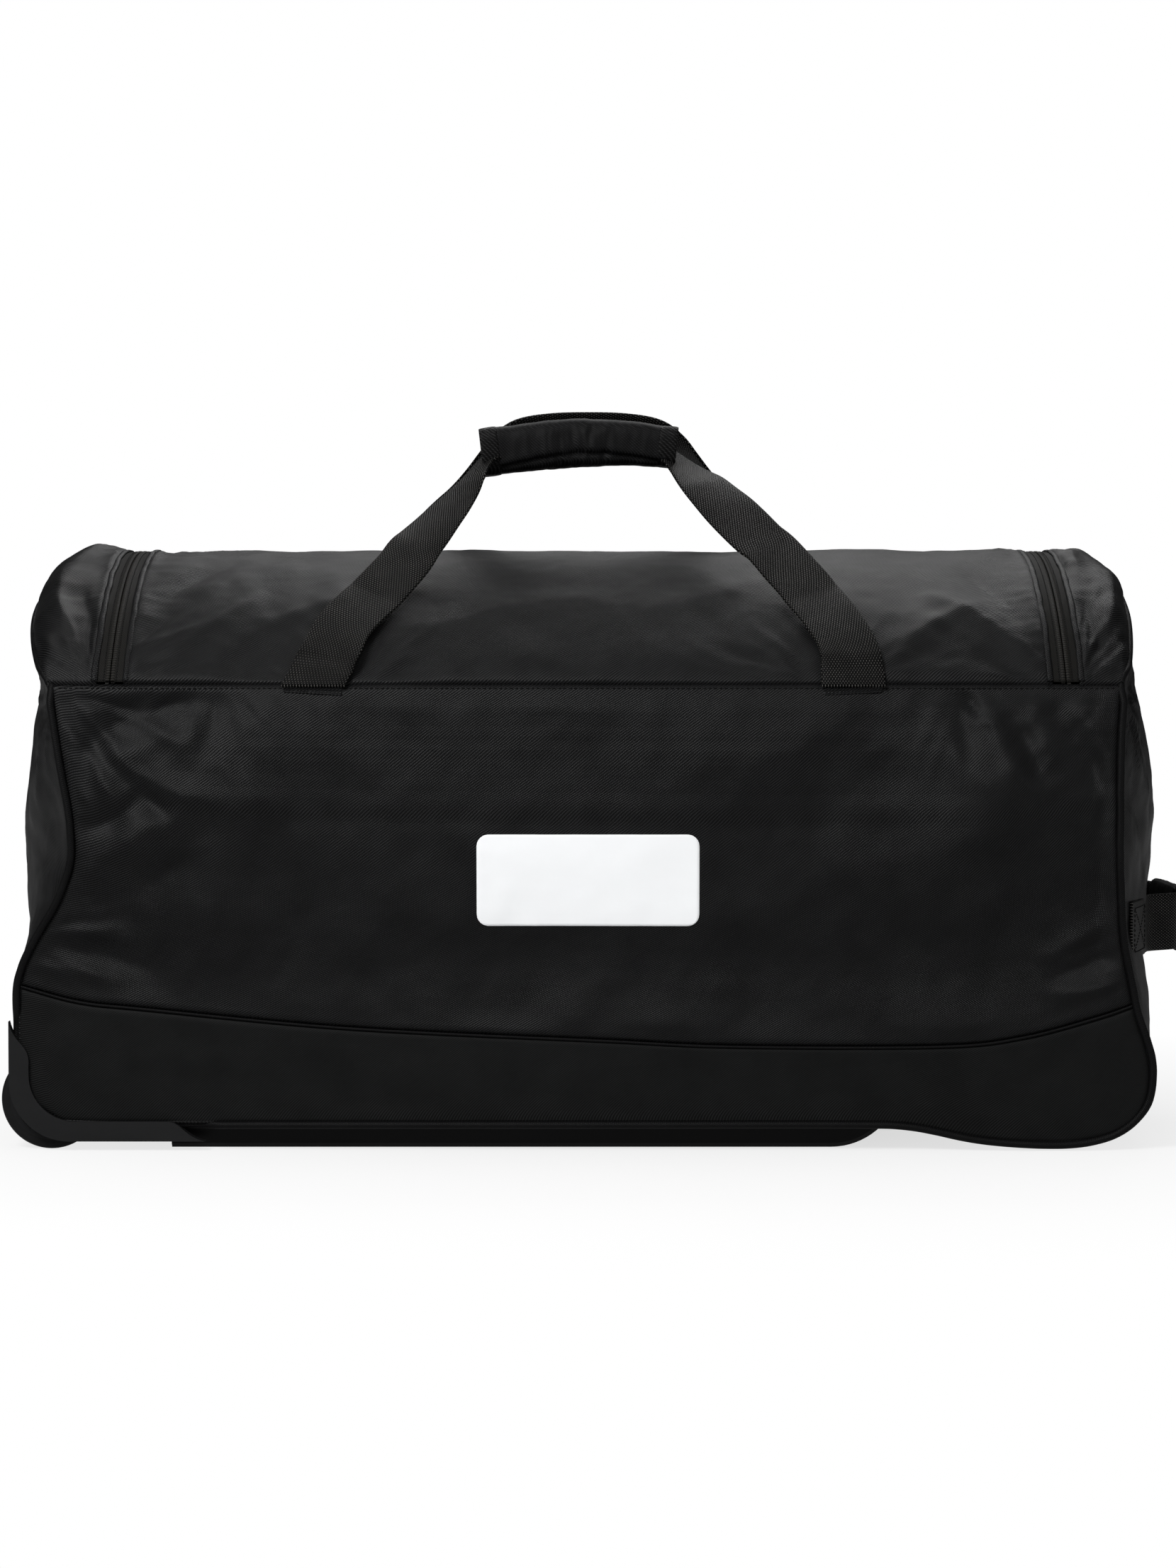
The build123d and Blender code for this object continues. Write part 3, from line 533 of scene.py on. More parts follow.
def twill(name, low, high, rib, strength, rough=(0.42, 0.56), specular=0.10, by="weave"):
    """Woven cloth: raised diagonal ribs, each a row of short threads, its colour painted lighter on their
    crests and darker between them. rib is their spacing in mm.
    """
    look = Look(name, low, rough[0])
    rib_turn, direction, thread_turn = twill_lay[by]
    ribs = look.wave(look.coordinates(by, turn=rib_turn), SPACING / rib, 0.12, direction)
    threads = look.wave(look.coordinates(by, turn=thread_turn), SPACING / (rib * 0.72), 0.12)
    patches = look.noise(look.coordinates(by), 34, 5)
    fuzz = look.noise(look.coordinates(by), 1500, 2)
    height = look.math("MULTIPLY", ribs, look.math("MULTIPLY_ADD", threads, 0.6, 0.4))
    # Colour painted light on the crests of the threads and dark in the gaps between them: a painted
    # highlight and painted shade, varied at random by fuzz and patches
    painted_crest_light = look.math("POWER", height, 1.7)
    wear = look.math("MULTIPLY_ADD", fuzz, 0.5, look.math("MULTIPLY", patches, 0.9))
    look.colours(look.math("MULTIPLY", painted_crest_light, wear), low, high)
    look.roughness(patches, *rough)
    look.raised(height, strength, 0.00035)
    look.put(Sheen_Weight=0.004, Sheen_Roughness=0.4, Specular_IOR_Level=specular)
    return look.material


def plastic(name, low, high, rough, grain=2600, strength=0.12, scuffs=14.0, specular=0.18):
    """Moulded plastic with a fine texture and faint scuffs."""
    look = Look(name, low, rough)
    spots = look.noise(look.coordinates(), grain, 2)
    wear_and_glint_patches = look.noise(look.coordinates(scale=(1, 1, 3)), scuffs, 6)
    look.colours(wear_and_glint_patches, low, high)
    look.roughness(wear_and_glint_patches, rough - 0.1, rough + 0.12)
    look.raised(spots, strength, 0.0002)
    look.put(Specular_IOR_Level=specular)
    return look.material


def metal(name, low, high, rough, metallic=1.0):
    """Turned or lacquered metal with fine brushing."""
    look = Look(name, low, rough)
    brushed = look.noise(look.coordinates(scale=(1, 14, 1)), 420, 3)
    look.colours(brushed, low, high)
    look.roughness(brushed, rough - 0.08, rough + 0.1)
    look.raised(brushed, 0.08, 0.0001)
    look.put(Metallic=metallic)
    return look.material


def webbing(name, low, high, painted_glint, across=2.0, along=3.4):
    """Woven webbing: staggered rows of raised picks, across and along mm apart, its colour painted lighter
    on the picks and darker between them, with a painted glint on their tops."""
    look = Look(name, low, 0.42)
    picks = []
    for turn in (math.pi / 4, -math.pi / 4):
        slanted = look.coordinates("weave", (1000 / across, 1000 / along, 1), (0, 0, turn))
        picks.append(look.wave(slanted, PICK_SCALE))
    height = look.math("MULTIPLY", *picks)
    wear_and_glint_patches = look.noise(look.coordinates("weave"), 60, 3)
    # A painted glint on the tops of the picks, in random patches, over colour painted lighter on the picks
    # and darker between them
    painted_glint_spots = look.math("MULTIPLY", look.math("POWER", height, 4.0), wear_and_glint_patches)
    look.colours(height, low, look.mixed(painted_glint_spots, high, painted_glint))
    look.raised(height, 1.0, 0.0007)
    look.put(Specular_IOR_Level=0.11)
    return look.material


def zip_cloth(name, low, high):
    """Zip tape: fine twill, with the coil's turns pressed through it beside the middle, its colour painted
    lighter on the raised turns and threads and darker between them.
    """
    look = Look(name, low, 0.6)
    places = look.coordinates("weave")
    across = look.node("ShaderNodeSeparateXYZ", Vector=places), "X"
    coil = look.math("LESS_THAN", look.math("ABSOLUTE", across), COIL_HALF)
    turns = look.wave(places, SPACING / COIL_PITCH, direction="Y")
    weave = look.wave(look.coordinates("weave", turn=(0, 0, 0.8)), SPACING, 0.2)
    flat = look.math("MULTIPLY", look.math("SUBTRACT", 1.0, coil), weave)
    height = look.math("MULTIPLY_ADD", coil, turns, look.math("MULTIPLY", flat, 0.4))
    # Colour follows the height: painted highlights on the coil's turns and the weave's crests, painted shade
    # between them
    look.colours(height, low, high)
    look.raised(height, 0.7, 0.0004)
    look.put(Specular_IOR_Level=0.08)
    return look.material


# Looks of the slots, and of the bindings and the thread: what makes each, its low and high colours, and what
# else its maker takes.
# In the cloths, the webbing and the zip tape the low colour is painted shade between the threads and the
# high colour painted light on their raised tops; the webbing's third colour is a painted glint.
recipes = {
    "black_twill": (twill, (0.0004, 0.0004, 0.0005), (0.026, 0.0263, 0.0275), 1.45, 0.62, (0.36, 0.48),
                    0.145),
    "accent_fabric": (twill, (0.0014, 0.0015, 0.0015), (0.025, 0.0258, 0.0258), 1.2, 0.3, (0.5, 0.62)),
    "piping_tape": (twill, (0.0006, 0.0006, 0.0007), (0.015, 0.015, 0.0158), 1.1, 0.5),
    "binding_tape": (twill, (0.0005, 0.0005, 0.0005), (0.026, 0.026, 0.026), 1.6, 0.8, (0.45, 0.6), 0.1,
                     "object"),
    "padded_fabric": (twill, (0.0005, 0.0005, 0.0006), (0.014, 0.014, 0.015), 1.1, 0.35, (0.5, 0.66), 0.12,
                      "object"),
    "thread": (twill, (0.001, 0.001, 0.001), (0.0075, 0.0075, 0.0078), 0.7, 0.3, (0.45, 0.6), 0.1, "object"),
    "webbing": (webbing, (0.0005, 0.0005, 0.0005), (0.0085, 0.0083, 0.0080), (0.30, 0.29, 0.27)),
    "zip_tape": (zip_cloth, (0.0038, 0.0036, 0.0032), (0.02, 0.019, 0.017)),
    "zip_coil": (plastic, (0.006, 0.0058, 0.0055), (0.016, 0.0155, 0.0145), 0.35, 900),
    "moulded_plastic": (plastic, (0.0068, 0.0069, 0.0072), (0.0125, 0.0127, 0.0132), 0.42),
    "skid_plastic": (plastic, (0.0006, 0.0006, 0.0008), (0.0022, 0.0022, 0.0026), 0.34, 2600, 0.12, 14,
                     0.16),
    "board": (plastic, (0.003, 0.003, 0.003), (0.008, 0.008, 0.008), 0.55, 1400),
    "hub_plastic": (plastic, (0.004, 0.004, 0.0045), (0.010, 0.010, 0.011), 0.45),
    "tread": (plastic, (0.0022, 0.0022, 0.0024), (0.008, 0.008, 0.0085), 0.6, 1800, 0.2, 30),
    "black_metal": (metal, (0.012, 0.012, 0.013), (0.03, 0.03, 0.031), 0.34, 0.6),
    "rivet_metal": (metal, (0.02, 0.02, 0.02), (0.05, 0.05, 0.05), 0.4, 0.8),
    "steel": (metal, (0.42, 0.42, 0.43), (0.58, 0.58, 0.59), 0.3),
    "patch_film": (plastic, (0.8, 0.81, 0.82), (0.85, 0.86, 0.87), 0.5, 1600, 0.1, 9, 0.1),
}
looks = {slot: make(slot, *values) for slot, (make, *values) in recipes.items()}

# The CAD nodes that stay visible take the same looks
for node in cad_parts.values():
    for index, old in enumerate(node.data.materials):
        slot = old.name.split(".")[0] if old else None
        if slot in looks:
            node.material_slots[index].material = looks[slot]

# ---------------- walls and accent panels
accent_z = {-1: 112.0, 1: 99.0}  # where the accent seam meets the piped corners


def corner_x(corner, z):
    """X of a piped corner at a height."""
    return np.interp(z, corner[:, 1], corner[:, 0])


def split_corner(side):
    """The point of a piped corner where the accent seam meets it, and the corner below and above."""
    corner, z = corners[side], accent_z[side]
    cut = np.searchsorted(corner[:, 1], z)
    meet = np.array([corner_x(corner, z), z])
    return meet, np.vstack([corner[:cut], meet]), np.vstack([meet, corner[cut:]])


wheel_meet, wheel_low, wheel_high = split_corner(-1)
pull_meet, pull_low, pull_high = split_corner(1)
accent_line = curve([wheel_meet, (-345, 101), (-300, 96), (-162, 83), (10, 74.5), (100, 70.5), (238, 70.5),
                     (294, 76.5), (345, 90), pull_meet], 260)
seam_line = np.array([[wheel_corner[-1, 0], seam_z], [pull_corner[-1, 0], seam_z]])


def on_wall(line, side, lift=0.0):
    """An (x, z) line or grid laid on the front or rear wall, standing out by lift."""
    x, z = line[..., 0], line[..., 1]
    return points_of(x, side * (wall_depth(z) + lift), z)


# Where the front's cloth is pulled: place, reach, height and seed of the creases that fan out
front_pulls = [((-372, 318), 150, 2.6, 6.0), ((372, 322), 140, 1.3, 16.0), ((-392, 150), 90, 1.2, 26.0),
               ((382, 120), 80, 1.2, 36.0), ((-250, 330), 80, 1.4, 46.0), ((250, 330), 80, 1.4, 56.0)]

# Folds of the front: start, end, width, height and bow
front_folds = [
    # wheel side: the loose cloth under the upper corner
    ((-254, 306), (-346, 262), 11, -5.2, -13), ((-345, 252), (-236, 284), 15, 4.6, 8),
    ((-322, 262), (-198, 236), 22, 4.0, -6), ((-306, 246), (-278, 226), 9, -5.4, 0),
    ((-334, 256), (-312, 232), 9, 3.6, 0), ((-268, 240), (-356, 186), 17, 5.0, 4),
    ((-300, 236), (-352, 214), 9, -4.2, 3), ((-357, 240), (-352, 188), 6, 5.2, 0),
    ((-252, 228), (-330, 160), 20, -3.2, 8), ((-356, 306), (-300, 296), 7, -2.6, 4),
    ((-250, 300), (-140, 250), 26, 2.6, 8), ((-366, 150), (-300, 140), 6, 2.6, 3),
    ((-370, 142), (-290, 118), 9, -2.8, 3), ((-374, 126), (-310, 112), 7, 2.6, 2),
    # pull side: the tuck under the seam, and the long folds beside the piping
    ((243, 318), (262, 289), 4, -4.6, 3), ((252, 300), (276, 288), 5, 3.6, -2),
    ((270, 304), (297, 240), 9, 4.2, -5), ((281, 300), (306, 246), 7, -4.0, 3),
    ((306, 300), (358, 214), 12, -5.4, 9), ((326, 302), (358, 240), 9, 3.6, 4),
    ((222, 306), (300, 228), 20, 4.0, -9), ((212, 150), (322, 292), 44, 9.5, 6),
    ((352, 240), (340, 120), 26, -5.0, 6), ((300, 210), (240, 150), 18, 2.4, 6),
    ((356, 160), (300, 128), 8, 3.0, 3), ((362, 136), (308, 116), 6, -3.2, 2),
    ((364, 118), (314, 106), 5, 2.6, 2), ((358, 148), (318, 132), 4, -2.0, 1),
    # broad swells of the middle and the wheel side
    ((-100, 300), (60, 292), 14, 1.6, 5), ((60, 250), (190, 300), 22, 2.4, -6),
    ((-180, 180), (-60, 140), 34, 2.6, 6), ((70, 160), (210, 200), 32, 2.4, -8),
    ((-330, 190), (-210, 120), 40, 4.4, 10), ((-200, 292), (-330, 200), 32, 3.2, 6),
]


def front_relief(x, z):
    """Wrinkles of the front: creases from the corners, soft folds, puckers along the seams."""
    out = 2.8 * clouds(x, z, 130, 3.1) + 0.9 * clouds(x, z, 46, 8.2)
    out += fanned_all(x, z, front_pulls) + fold_all(x, z, front_folds)
    near_side = np.minimum.reduce([np.abs(x - corner_x(corner, z)) for corner in corners.values()])
    out += 0.9 * clouds(x * 0.25, z, 9, 5.5, 2) * np.exp(-near_side / 26)
    return out + 0.5 * clouds(x, z * 0.3, 8, 1.5, 2) * np.exp(-(seam_z - z) / 10)


def rear_relief(x, z):
    """Wrinkles of the rear: its own, and the front's at half height."""
    return 2.2 * clouds(x, z, 110, 21.4) + 0.9 * clouds(x, z, 40, 31.2) + front_relief(-x, z) * 0.5


def accent_relief(x, z):
    """The gentle waves of the accent panels."""
    return 0.7 * clouds(x, z, 90, 12.0) + 0.35 * clouds(x * 0.4, z, 14, 2.0, 2)


def wall(name, side, edges, counts, relief, slot, node):
    """A front or rear panel between its lower, upper, wheel-side and pull-side edges. counts are
    its columns and rows of points."""
    grid = coons(*edges, *counts)
    outward = facing(0, side, 0)
    points = tucked(on_wall(grid, side), relief(grid[..., 0], grid[..., 1]), outward)
    finish(cloth_panel(name, points, outward), "bag", slot, node)


walls = ((-1, "front", front), (1, "rear", rear))
for (side, word, _), relief in zip(walls, (front_relief, rear_relief)):
    wall(f"{word}_wall", side, (accent_line, seam_line, wheel_high, pull_high), (240, 78), relief,
         "black_twill", f"{word}_panel")
    wall(f"{word}_accent", side, (base_line, accent_line, wheel_low, pull_low), (220, 28), accent_relief,
         "accent_fabric", f"{word}_accent_panel")

# ---------------- ends and bottom
ends = ((-1, "wheel"), (1, "pull"))
rim_round = 4.0  # rounded corner between the hood and an end, near the long seams
hood_round = {-1: 30.0, 1: 22.0}  # the same corner at the crown
room_radius, room_width, housing_wall = 0.0402, 0.0330, 0.0018  # a wheel's room and housing, in metres


def hood_rim(side):
    """The seam where the hood has turned down into an end panel: angles, radii, y and z."""
    angle = np.linspace(-seam_angle, seam_angle, 121)
    share = np.cos(angle / angle[-1] * math.pi / 2) ** 0.8
    inset = rim_round + (hood_round[side] - rim_round) * share
    inset[0] = inset[-1] = 0.0
    radius = dome_r - inset * smooth(np.minimum(angle - angle[0], angle[-1] - angle) / 0.12)
    return angle, radius, radius * np.sin(angle), dome_z + radius * np.cos(angle)


# Folds of both ends, mirrored over the middle: start, end, width, height and bow
end_folds = [((176, 300), (96, 226), 16, 3.2, 8), ((180, 262), (120, 180), 12, -2.6, -6),
             ((170, 60), (90, 130), 20, 2.4, -6)]


def end_points(side):
    """The points of an end panel."""
    _, _, rim_y, rim_z = hood_rim(side)
    foot = corners[side][0, 1]
    heights = np.linspace(foot, seam_z, 70)
    right = points_of(wall_depth(heights), heights)
    grid = coons([[-wall_y, foot], [wall_y, foot]], points_of(rim_y, rim_z), right * (-1, 1), right,
                 columns=96, rows=100)
    y, z = grid[..., 0], grid[..., 1]
    relief = 3.2 * clouds(y, z, 95, 41 + side) + 1.0 * clouds(y, z, 36, 51 + side)
    for way in (-1, 1):
        relief += fanned(way * y, z, (192, 318), 120, 1.8, 61.0 + way + side)
        relief += fold_all(way * y, z, end_folds)
    relief += 1.2 * clouds(y, z * 0.3, 22, 61 + side, 2) * np.exp(-np.abs(z - seam_z) / 30)
    return tucked(points_of(end_x(side, y, z), y, z), relief, facing(side, 0, 0))


def wheel_cutter(side, word):
    """The room of a wheel in the skin, inside the wall of its housing."""
    low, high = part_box(f"wheel_housing_{word}")
    inner = min(abs(low[1]), abs(high[1]))
    axle = np.mean(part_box(f"wheel_axle_{word}"), axis=0)
    middle = (axle[0], side * (inner + housing_wall + room_width / 2), axle[2])
    bpy.ops.mesh.primitive_cylinder_add(vertices=96, radius=room_radius, depth=room_width,
                                        location=middle, rotation=(math.pi / 2, 0, 0))
    return bpy.context.object


def cut_openings(piece):
    """Cuts the room of both wheels out of a panel and applies the cut."""
    for side, word, _ in walls:
        cutter = wheel_cutter(side, word)
        cut = piece.modifiers.new("wheel", "BOOLEAN")
        cut.operation = "DIFFERENCE"
        cut.solver = "EXACT"
        cut.object = cutter
        depsgraph = bpy.context.evaluated_depsgraph_get()
        mesh = bpy.data.meshes.new_from_object(piece.evaluated_get(depsgraph))
        piece.modifiers.clear()
        piece.data = mesh
        bpy.data.objects.remove(cutter)


for side, word in ends:
    piece = cloth_panel(f"{word}_end", end_points(side), facing(side, 0, 0))
    if side < 0:
        cut_openings(piece)
    finish(piece, "bag", "black_twill", f"{word}_end_panel")

base_fine = even(base_line, 200)
bottom = points_of(base_fine[:, 0], np.linspace(-wall_y, wall_y, 72)[:, None], base_fine[:, 1])
sag = 1.2 * clouds(bottom[..., 0], bottom[..., 1], 80, 71.0) * smooth((bottom[..., 0] - 205) / 40)
piece = cloth_panel("bottom", tucked(bottom, sag, under, depth=0.8), under)
cut_openings(piece)
finish(piece, "bag", "black_twill", "bottom_panel")

# ---------------- hood, lid and the strip behind it
# Where the hood's cloth is pulled, over (x, distance over the crown)
hood_pulls = [((-330, -seam_arc), 110, 1.9, 3.5), ((-330, 60), 110, 1.5, 8.5),
              ((330, -seam_arc), 110, 1.9, 13.5), ((330, 60), 110, 1.5, 18.5),
              ((-160, -seam_arc - 12), 90, 1.5, 23.5), ((160, -seam_arc - 12), 90, 1.5, 29.5)]
# Folds of the hood: start, end, width, height and bow
hood_folds = [
    ((-262, -200), (-150, -120), 13, 3.0, 6), ((-300, -196), (-224, -120), 10, 3.6, -6),
    ((-302, -150), (-240, -60), 10, -3.0, 5), ((-120, -170), (20, -128), 16, 2.2, 8),
    ((30, -150), (130, -96), 16, 2.2, -6), ((196, -204), (282, -130), 11, 3.0, 8),
    ((300, -196), (232, -120), 9, 3.8, -5), ((302, -160), (262, -70), 9, -3.0, 4),
    ((-70, -100), (90, -80), 24, 1.8, 8), ((-200, -60), (-60, -20), 28, 2.2, 8),
    ((100, -60), (240, -10), 26, 2.2, -8), ((-40, 20), (160, 70), 30, 2.0, 10),
    ((-280, 20), (-180, 84), 16, 2.4, 6),
]
# Folds of the hood's ends that run down beside the zip, and a bump at the wheel side's crown
hood_end_folds = {
    -1: [((-362, -70), (-340, 60), 12, 5.0), ((-352, -190), (-368, -60), 8, 3.0, 5),
         ((-338, -200), (-352, -110), 6, -2.6, -3)],
    1: [((346, -205), (366, -70), 7, 3.2, -4), ((340, -120), (352, 0), 7, 3.0, 3),
        ((352, -200), (342, -120), 5, -2.4, 3)],
}


def hood_relief(x, s):
    """Wrinkles of the hood over (x, distance over the crown)."""
    out = 2.0 * clouds(x, s, 120, 91.0) + 0.9 * clouds(x, s, 42, 93.0)
    out += fanned_all(x, s, hood_pulls) + fold_all(x, s, hood_folds)
    off = np.abs(from_zip(x, dome_r * np.sin(s / dome_r)))
    along = np.where(np.abs(x) > 255, s, x)
    out += 1.5 * clouds(along, off * 0.3, 10, 17.0, 2) * np.exp(-np.maximum(off - zip_half, 0) / 20)
    out += 1.3 * bump(off, 12.5, 3.2)
    return out + 0.8 * clouds(x, s * 0.3, 16, 27.0, 2) * np.exp(-(seam_arc - np.abs(s)) / 16)


def hood_panel(name, points, relief, outward, body, node):
    """A panel of the hood with its wrinkles."""
    points = tucked(points, relief, outward, depth=1.3, ease=8)
    finish(cloth_panel(name, points, outward), body, "black_twill", node)


def zip_arc(offset):
    """The rear and its corners, that far outside the zip's middle: (x, distance over the crown)."""
    half, rear_y, corner = zip_x + offset, zip_y + offset, zip_corner + offset
    turn = np.linspace(0, math.pi / 2, 40)
    left = points_of(-half + corner - corner * np.cos(turn), arc_of(rear_y - corner + corner * np.sin(turn)))
    return np.vstack([left, (left * (-1, 1))[::-1]])


turned = 20  # points of each of the lid's rear corners that belong to its sides
lid_x, lid_foot = zip_x - zip_half, -seam_arc + 0.8
lid_arc = zip_arc(-zip_half)
lid_front = np.array([[-lid_x, lid_foot], [lid_x, lid_foot]])
lid_grid = coons(lid_front, lid_arc[turned:-turned], np.vstack([lid_front[0], lid_arc[: turned + 1]]),
                 np.vstack([lid_front[1], lid_arc[: -turned - 2 : -1]]), columns=190, rows=112)
strip_arc = zip_arc(zip_half)
strip_rear = np.array([[-band_x, seam_arc], [band_x, seam_arc]])
strip_grid = coons(strip_rear, strip_arc, np.vstack([strip_rear[0], strip_arc[0]]),
                   np.vstack([strip_rear[1], strip_arc[-1]]), columns=200, rows=34)
for name, grid, body, node in (("lid", lid_grid, "lid", "lid_panel"),
                               ("hood_rear", strip_grid, "bag", "hood_rear_strip")):
    x, s = grid[..., 0], grid[..., 1]
    hood_panel(name, on_dome(x, s), hood_relief(x, s), dome_out, body, node)


def hood_end(side, word):
    """A fixed end of the hood, from the zip over the rounded corner to the end panel."""
    angle, rim, rim_y, rim_z = hood_rim(side)
    r = (dome_r - rim)[:, None]
    flat = np.abs(end_x(side, rim_y, rim_z))[:, None] - r - band_x
    along = np.linspace(0, 1, 46) * (flat + r * math.pi / 2)
    turn = np.clip((along - flat) / np.maximum(r, 1e-6), 0, math.pi / 2)
    x = side * (band_x + np.minimum(along, flat) + r * np.sin(turn))
    radius = dome_r - r * (1 - np.cos(turn))
    s = np.broadcast_to((dome_r * angle)[:, None], x.shape)
    points = points_of(x, radius * np.sin(angle)[:, None], dome_z + radius * np.cos(angle)[:, None])
    relief = hood_relief(x, s) + 1.6 * clouds(x * 0.6, s, 46, 33.0 + side)
    relief += fold_all(x, s, hood_end_folds[side])

    def outward(points):
        return points - (side * 300.0, 0, dome_z)

    hood_panel(f"hood_end_cloth_{word}_side", points, relief, outward, "bag", f"hood_{word}_end")


for side, word in ends:
    hood_end(side, word)

# ---------------- zip
def zip_line(offset):
    """The zip's line that far outside its middle: (x, y) from the front seam round and back to it."""
    half, rear_y, corner = zip_x + offset, zip_y + offset, zip_corner + offset
    turn = np.linspace(0, math.pi / 2, 26, endpoint=False)
    left = np.vstack([
        points_of(-half, np.linspace(-seam_y + 1.4, rear_y - corner, 120, endpoint=False)),
        points_of(-half + corner * (1 - np.cos(turn)), rear_y - corner * (1 - np.sin(turn))),
        points_of(np.linspace(-half + corner, 0, 150), rear_y),
    ])
    return np.vstack([left, (left * (-1, 1))[::-1][1:]])


def over_zip(offset, lift):
    """The zip's line that far outside its middle, on the hood and standing out by lift."""
    x, y = zip_line(offset).T
    return dome(x, y, lift)


tape_stitches, hem_middle = 4.3, 10.6  # from the zip's middle
zip_along = distance_along(zip_line(0))


def wander(scale, seed, octaves=2):
    """Small wandering along the zip, about -1 to 1."""
    return clouds(zip_along, 0, scale, seed, octaves)


for side, word, body in ((-1, "lid", "lid"), (1, "body", "bag")):
    away = np.concatenate([np.linspace(0.25, 3.6, 9), np.linspace(4.4, 10.4, 6)])
    lifts = -0.35 + 0.75 * bump(away, 1.7, 1.25)
    grid = np.stack([over_zip(side * off, lift) for off, lift in zip(away, lifts)], axis=1)
    weave = points_of(side * away, zip_along[:, None])
    tape = cloth_panel(f"zip_tape_{word}_side", grid, dome_out, thickness=0.8, weave=weave)
    finish(tape, body, "zip_tape", f"zip_tape_{word}")
    sew(f"zip_stitches_{word}_side", over_zip(side * tape_stitches, -0.35), dome_out, body, pitch=2.4,
        length=1.7, radius=0.3)
    # The folded edge of the cloth beside the tape
    plan = zip_line(side * hem_middle)
    inward = zip_line(side * (hem_middle - 1)) - plan
    plan += inward * (0.6 * wander(17, 3.0 + side) + 0.25 * wander(5, 9.0 + side, 1))[:, None]
    path = dome(plan[:, 0], plan[:, 1], 0.15 + 0.5 * wander(11, 19.0 + side))
    path_out = dome_out(path)
    across, _ = frames_along(path, path_out)
    plump = 1 + 0.16 * wander(8, 29.0 + side)
    section = ring_of(14)[1] * (2.2, 1.25)
    hem = swept(f"zip_hem_{word}_side", path, across, path_out, section * plump[:, None, None])
    finish(hem, body, "black_twill")

# ---------------- piping
outline = np.vstack([wheel_corner[::-1], base_line[1:-1], pull_corner])
outline = curve(even(outline, 90), 420)
ahead = unit(np.gradient(outline, axis=0))
outline_out = points_of(ahead[:, 1], -ahead[:, 0])
outline_out *= np.sign(np.sum(outline_out * (outline - (0, 180)), axis=1, keepdims=True))
for side, word, _ in walls:
    x, z = (outline + outline_out * 0.5).T
    behind = smooth((100 - z) / 14) * smooth((-248 - x) / 14)  # sunk at the wheel housing's cheek
    into = smooth((z - seam_z + 14) / 14)  # both ends turn in under the hood's seam
    y = wall_depth(np.maximum(z, 0)) + 0.6 - 4.4 * behind - 3.2 * into
    x = x - 2.4 * into * np.sign(x)
    path = points_of(x + 0.5 * clouds(x, z, 30, 4.0 + side), side * y, z)
    finish(tube(f"{word}_welt", path, radius=2.65), "bag", "piping_tape", f"{word}_piping")

for side, word in ends:
    angle, _, y, z = hood_rim(side)
    into = smooth(1 - np.minimum(angle - angle[0], angle[-1] - angle) / 0.07)
    x = end_x(side, y, z) + side * (0.4 - 1.6 * into)
    path = even(points_of(x, y * (1.002 - 0.016 * into), z + 0.6), 220)
    finish(tube(f"hood_{word}_welt", path, radius=2.1), "bag", "piping_tape")

# ---------------- carry handles
hinge_y, hinge_z = 188.2, 317.5  # where the straps leave the seams
front_top, rear_top = (-20.0, 490.0), (14.0, 504.0)  # (y, z) that the handles lean towards


def strap(name, side, top, stations, samples=90):
    """A strap from (x, distance up its slope, width, tilt in degrees) stations, the first on the
    seam. It leans towards top, a (y, z) place."""
    x, up, widths, tilts = curve(stations, samples).T
    foot = np.array([side * hinge_y, hinge_z])
    slope = unit(top - foot)
    path = points_of(x, foot[0] + slope[0] * up, foot[1] + slope[1] * up)
    rise = np.hypot(path[:, 1], path[:, 2] - dome_z)
    lift = np.maximum(dome_r + 6.0 * smooth(up / 22) - rise, 0)
    sunk = 2.4 * (1 - smooth((up + 1) / 9))  # the foot goes down into the seam
    path += dome_out(path) * (lift - sunk)[:, None]
    if side < 0:
        path[:, 1] += 13 * smooth((up - 194) / 22)  # into the end of the grip's sleeve
    ahead = unit(np.gradient(points_of(x, up), axis=0))
    flat = points_of(ahead[:, 1], -ahead[:, 0])
    free = smooth(up / 34)[:, None]  # 0 at the foot, which lies square on the seam
    flat = flat * free + np.array([1.0, 0.0]) * (1 - free) * np.sign(flat[:, :1])
    across = unit(points_of(flat[:, 0], flat[:, 1] * slope[0], flat[:, 1] * slope[1]))
    out = np.array([0, slope[1], -slope[0]]) * np.sign(slope[0])
    tilt = np.radians(tilts)[:, None]
    return ribbon(name, path, across * np.cos(tilt) + out * np.sin(tilt), widths, thickness=2.3)


# Half handles: (x, distance up the slope, width, tilt)
wheel_leg = [(-184.9, -2, 43.7, 0), (-174, 25, 41, 0), (-166, 49, 40, 0), (-147, 82, 40, 0),
             (-129, 112, 40, -3), (-121.3, 129, 40, -6), (-115, 139.5, 40, -12), (-106.7, 154, 40, -20),
             (-98.9, 168, 40, -26), (-91.5, 182.5, 39, -33), (-85.4, 197, 38, -43), (-79, 211, 36, -48),
             (-71, 222, 32, -40), (-60, 229, 26, -15), (-40, 234, 22, 0)]
pull_leg = [(178.5, -2, 43.7, 0), (178, 14, 42, 0), (175.5, 32, 40, 0), (166.7, 55, 40, 0),
            (151.2, 89, 40, 0), (140, 108.5, 40, 0), (128, 129, 40, 2), (119, 139.5, 40, 1),
            (109.2, 154, 40, 0), (99.9, 168, 40, 2), (90, 182.5, 39, 8), (80.4, 197, 38, 15),
            (71, 211, 36, 28), (62, 222, 31, 32), (50, 229, 26, 12), (36, 234, 22, 0)]
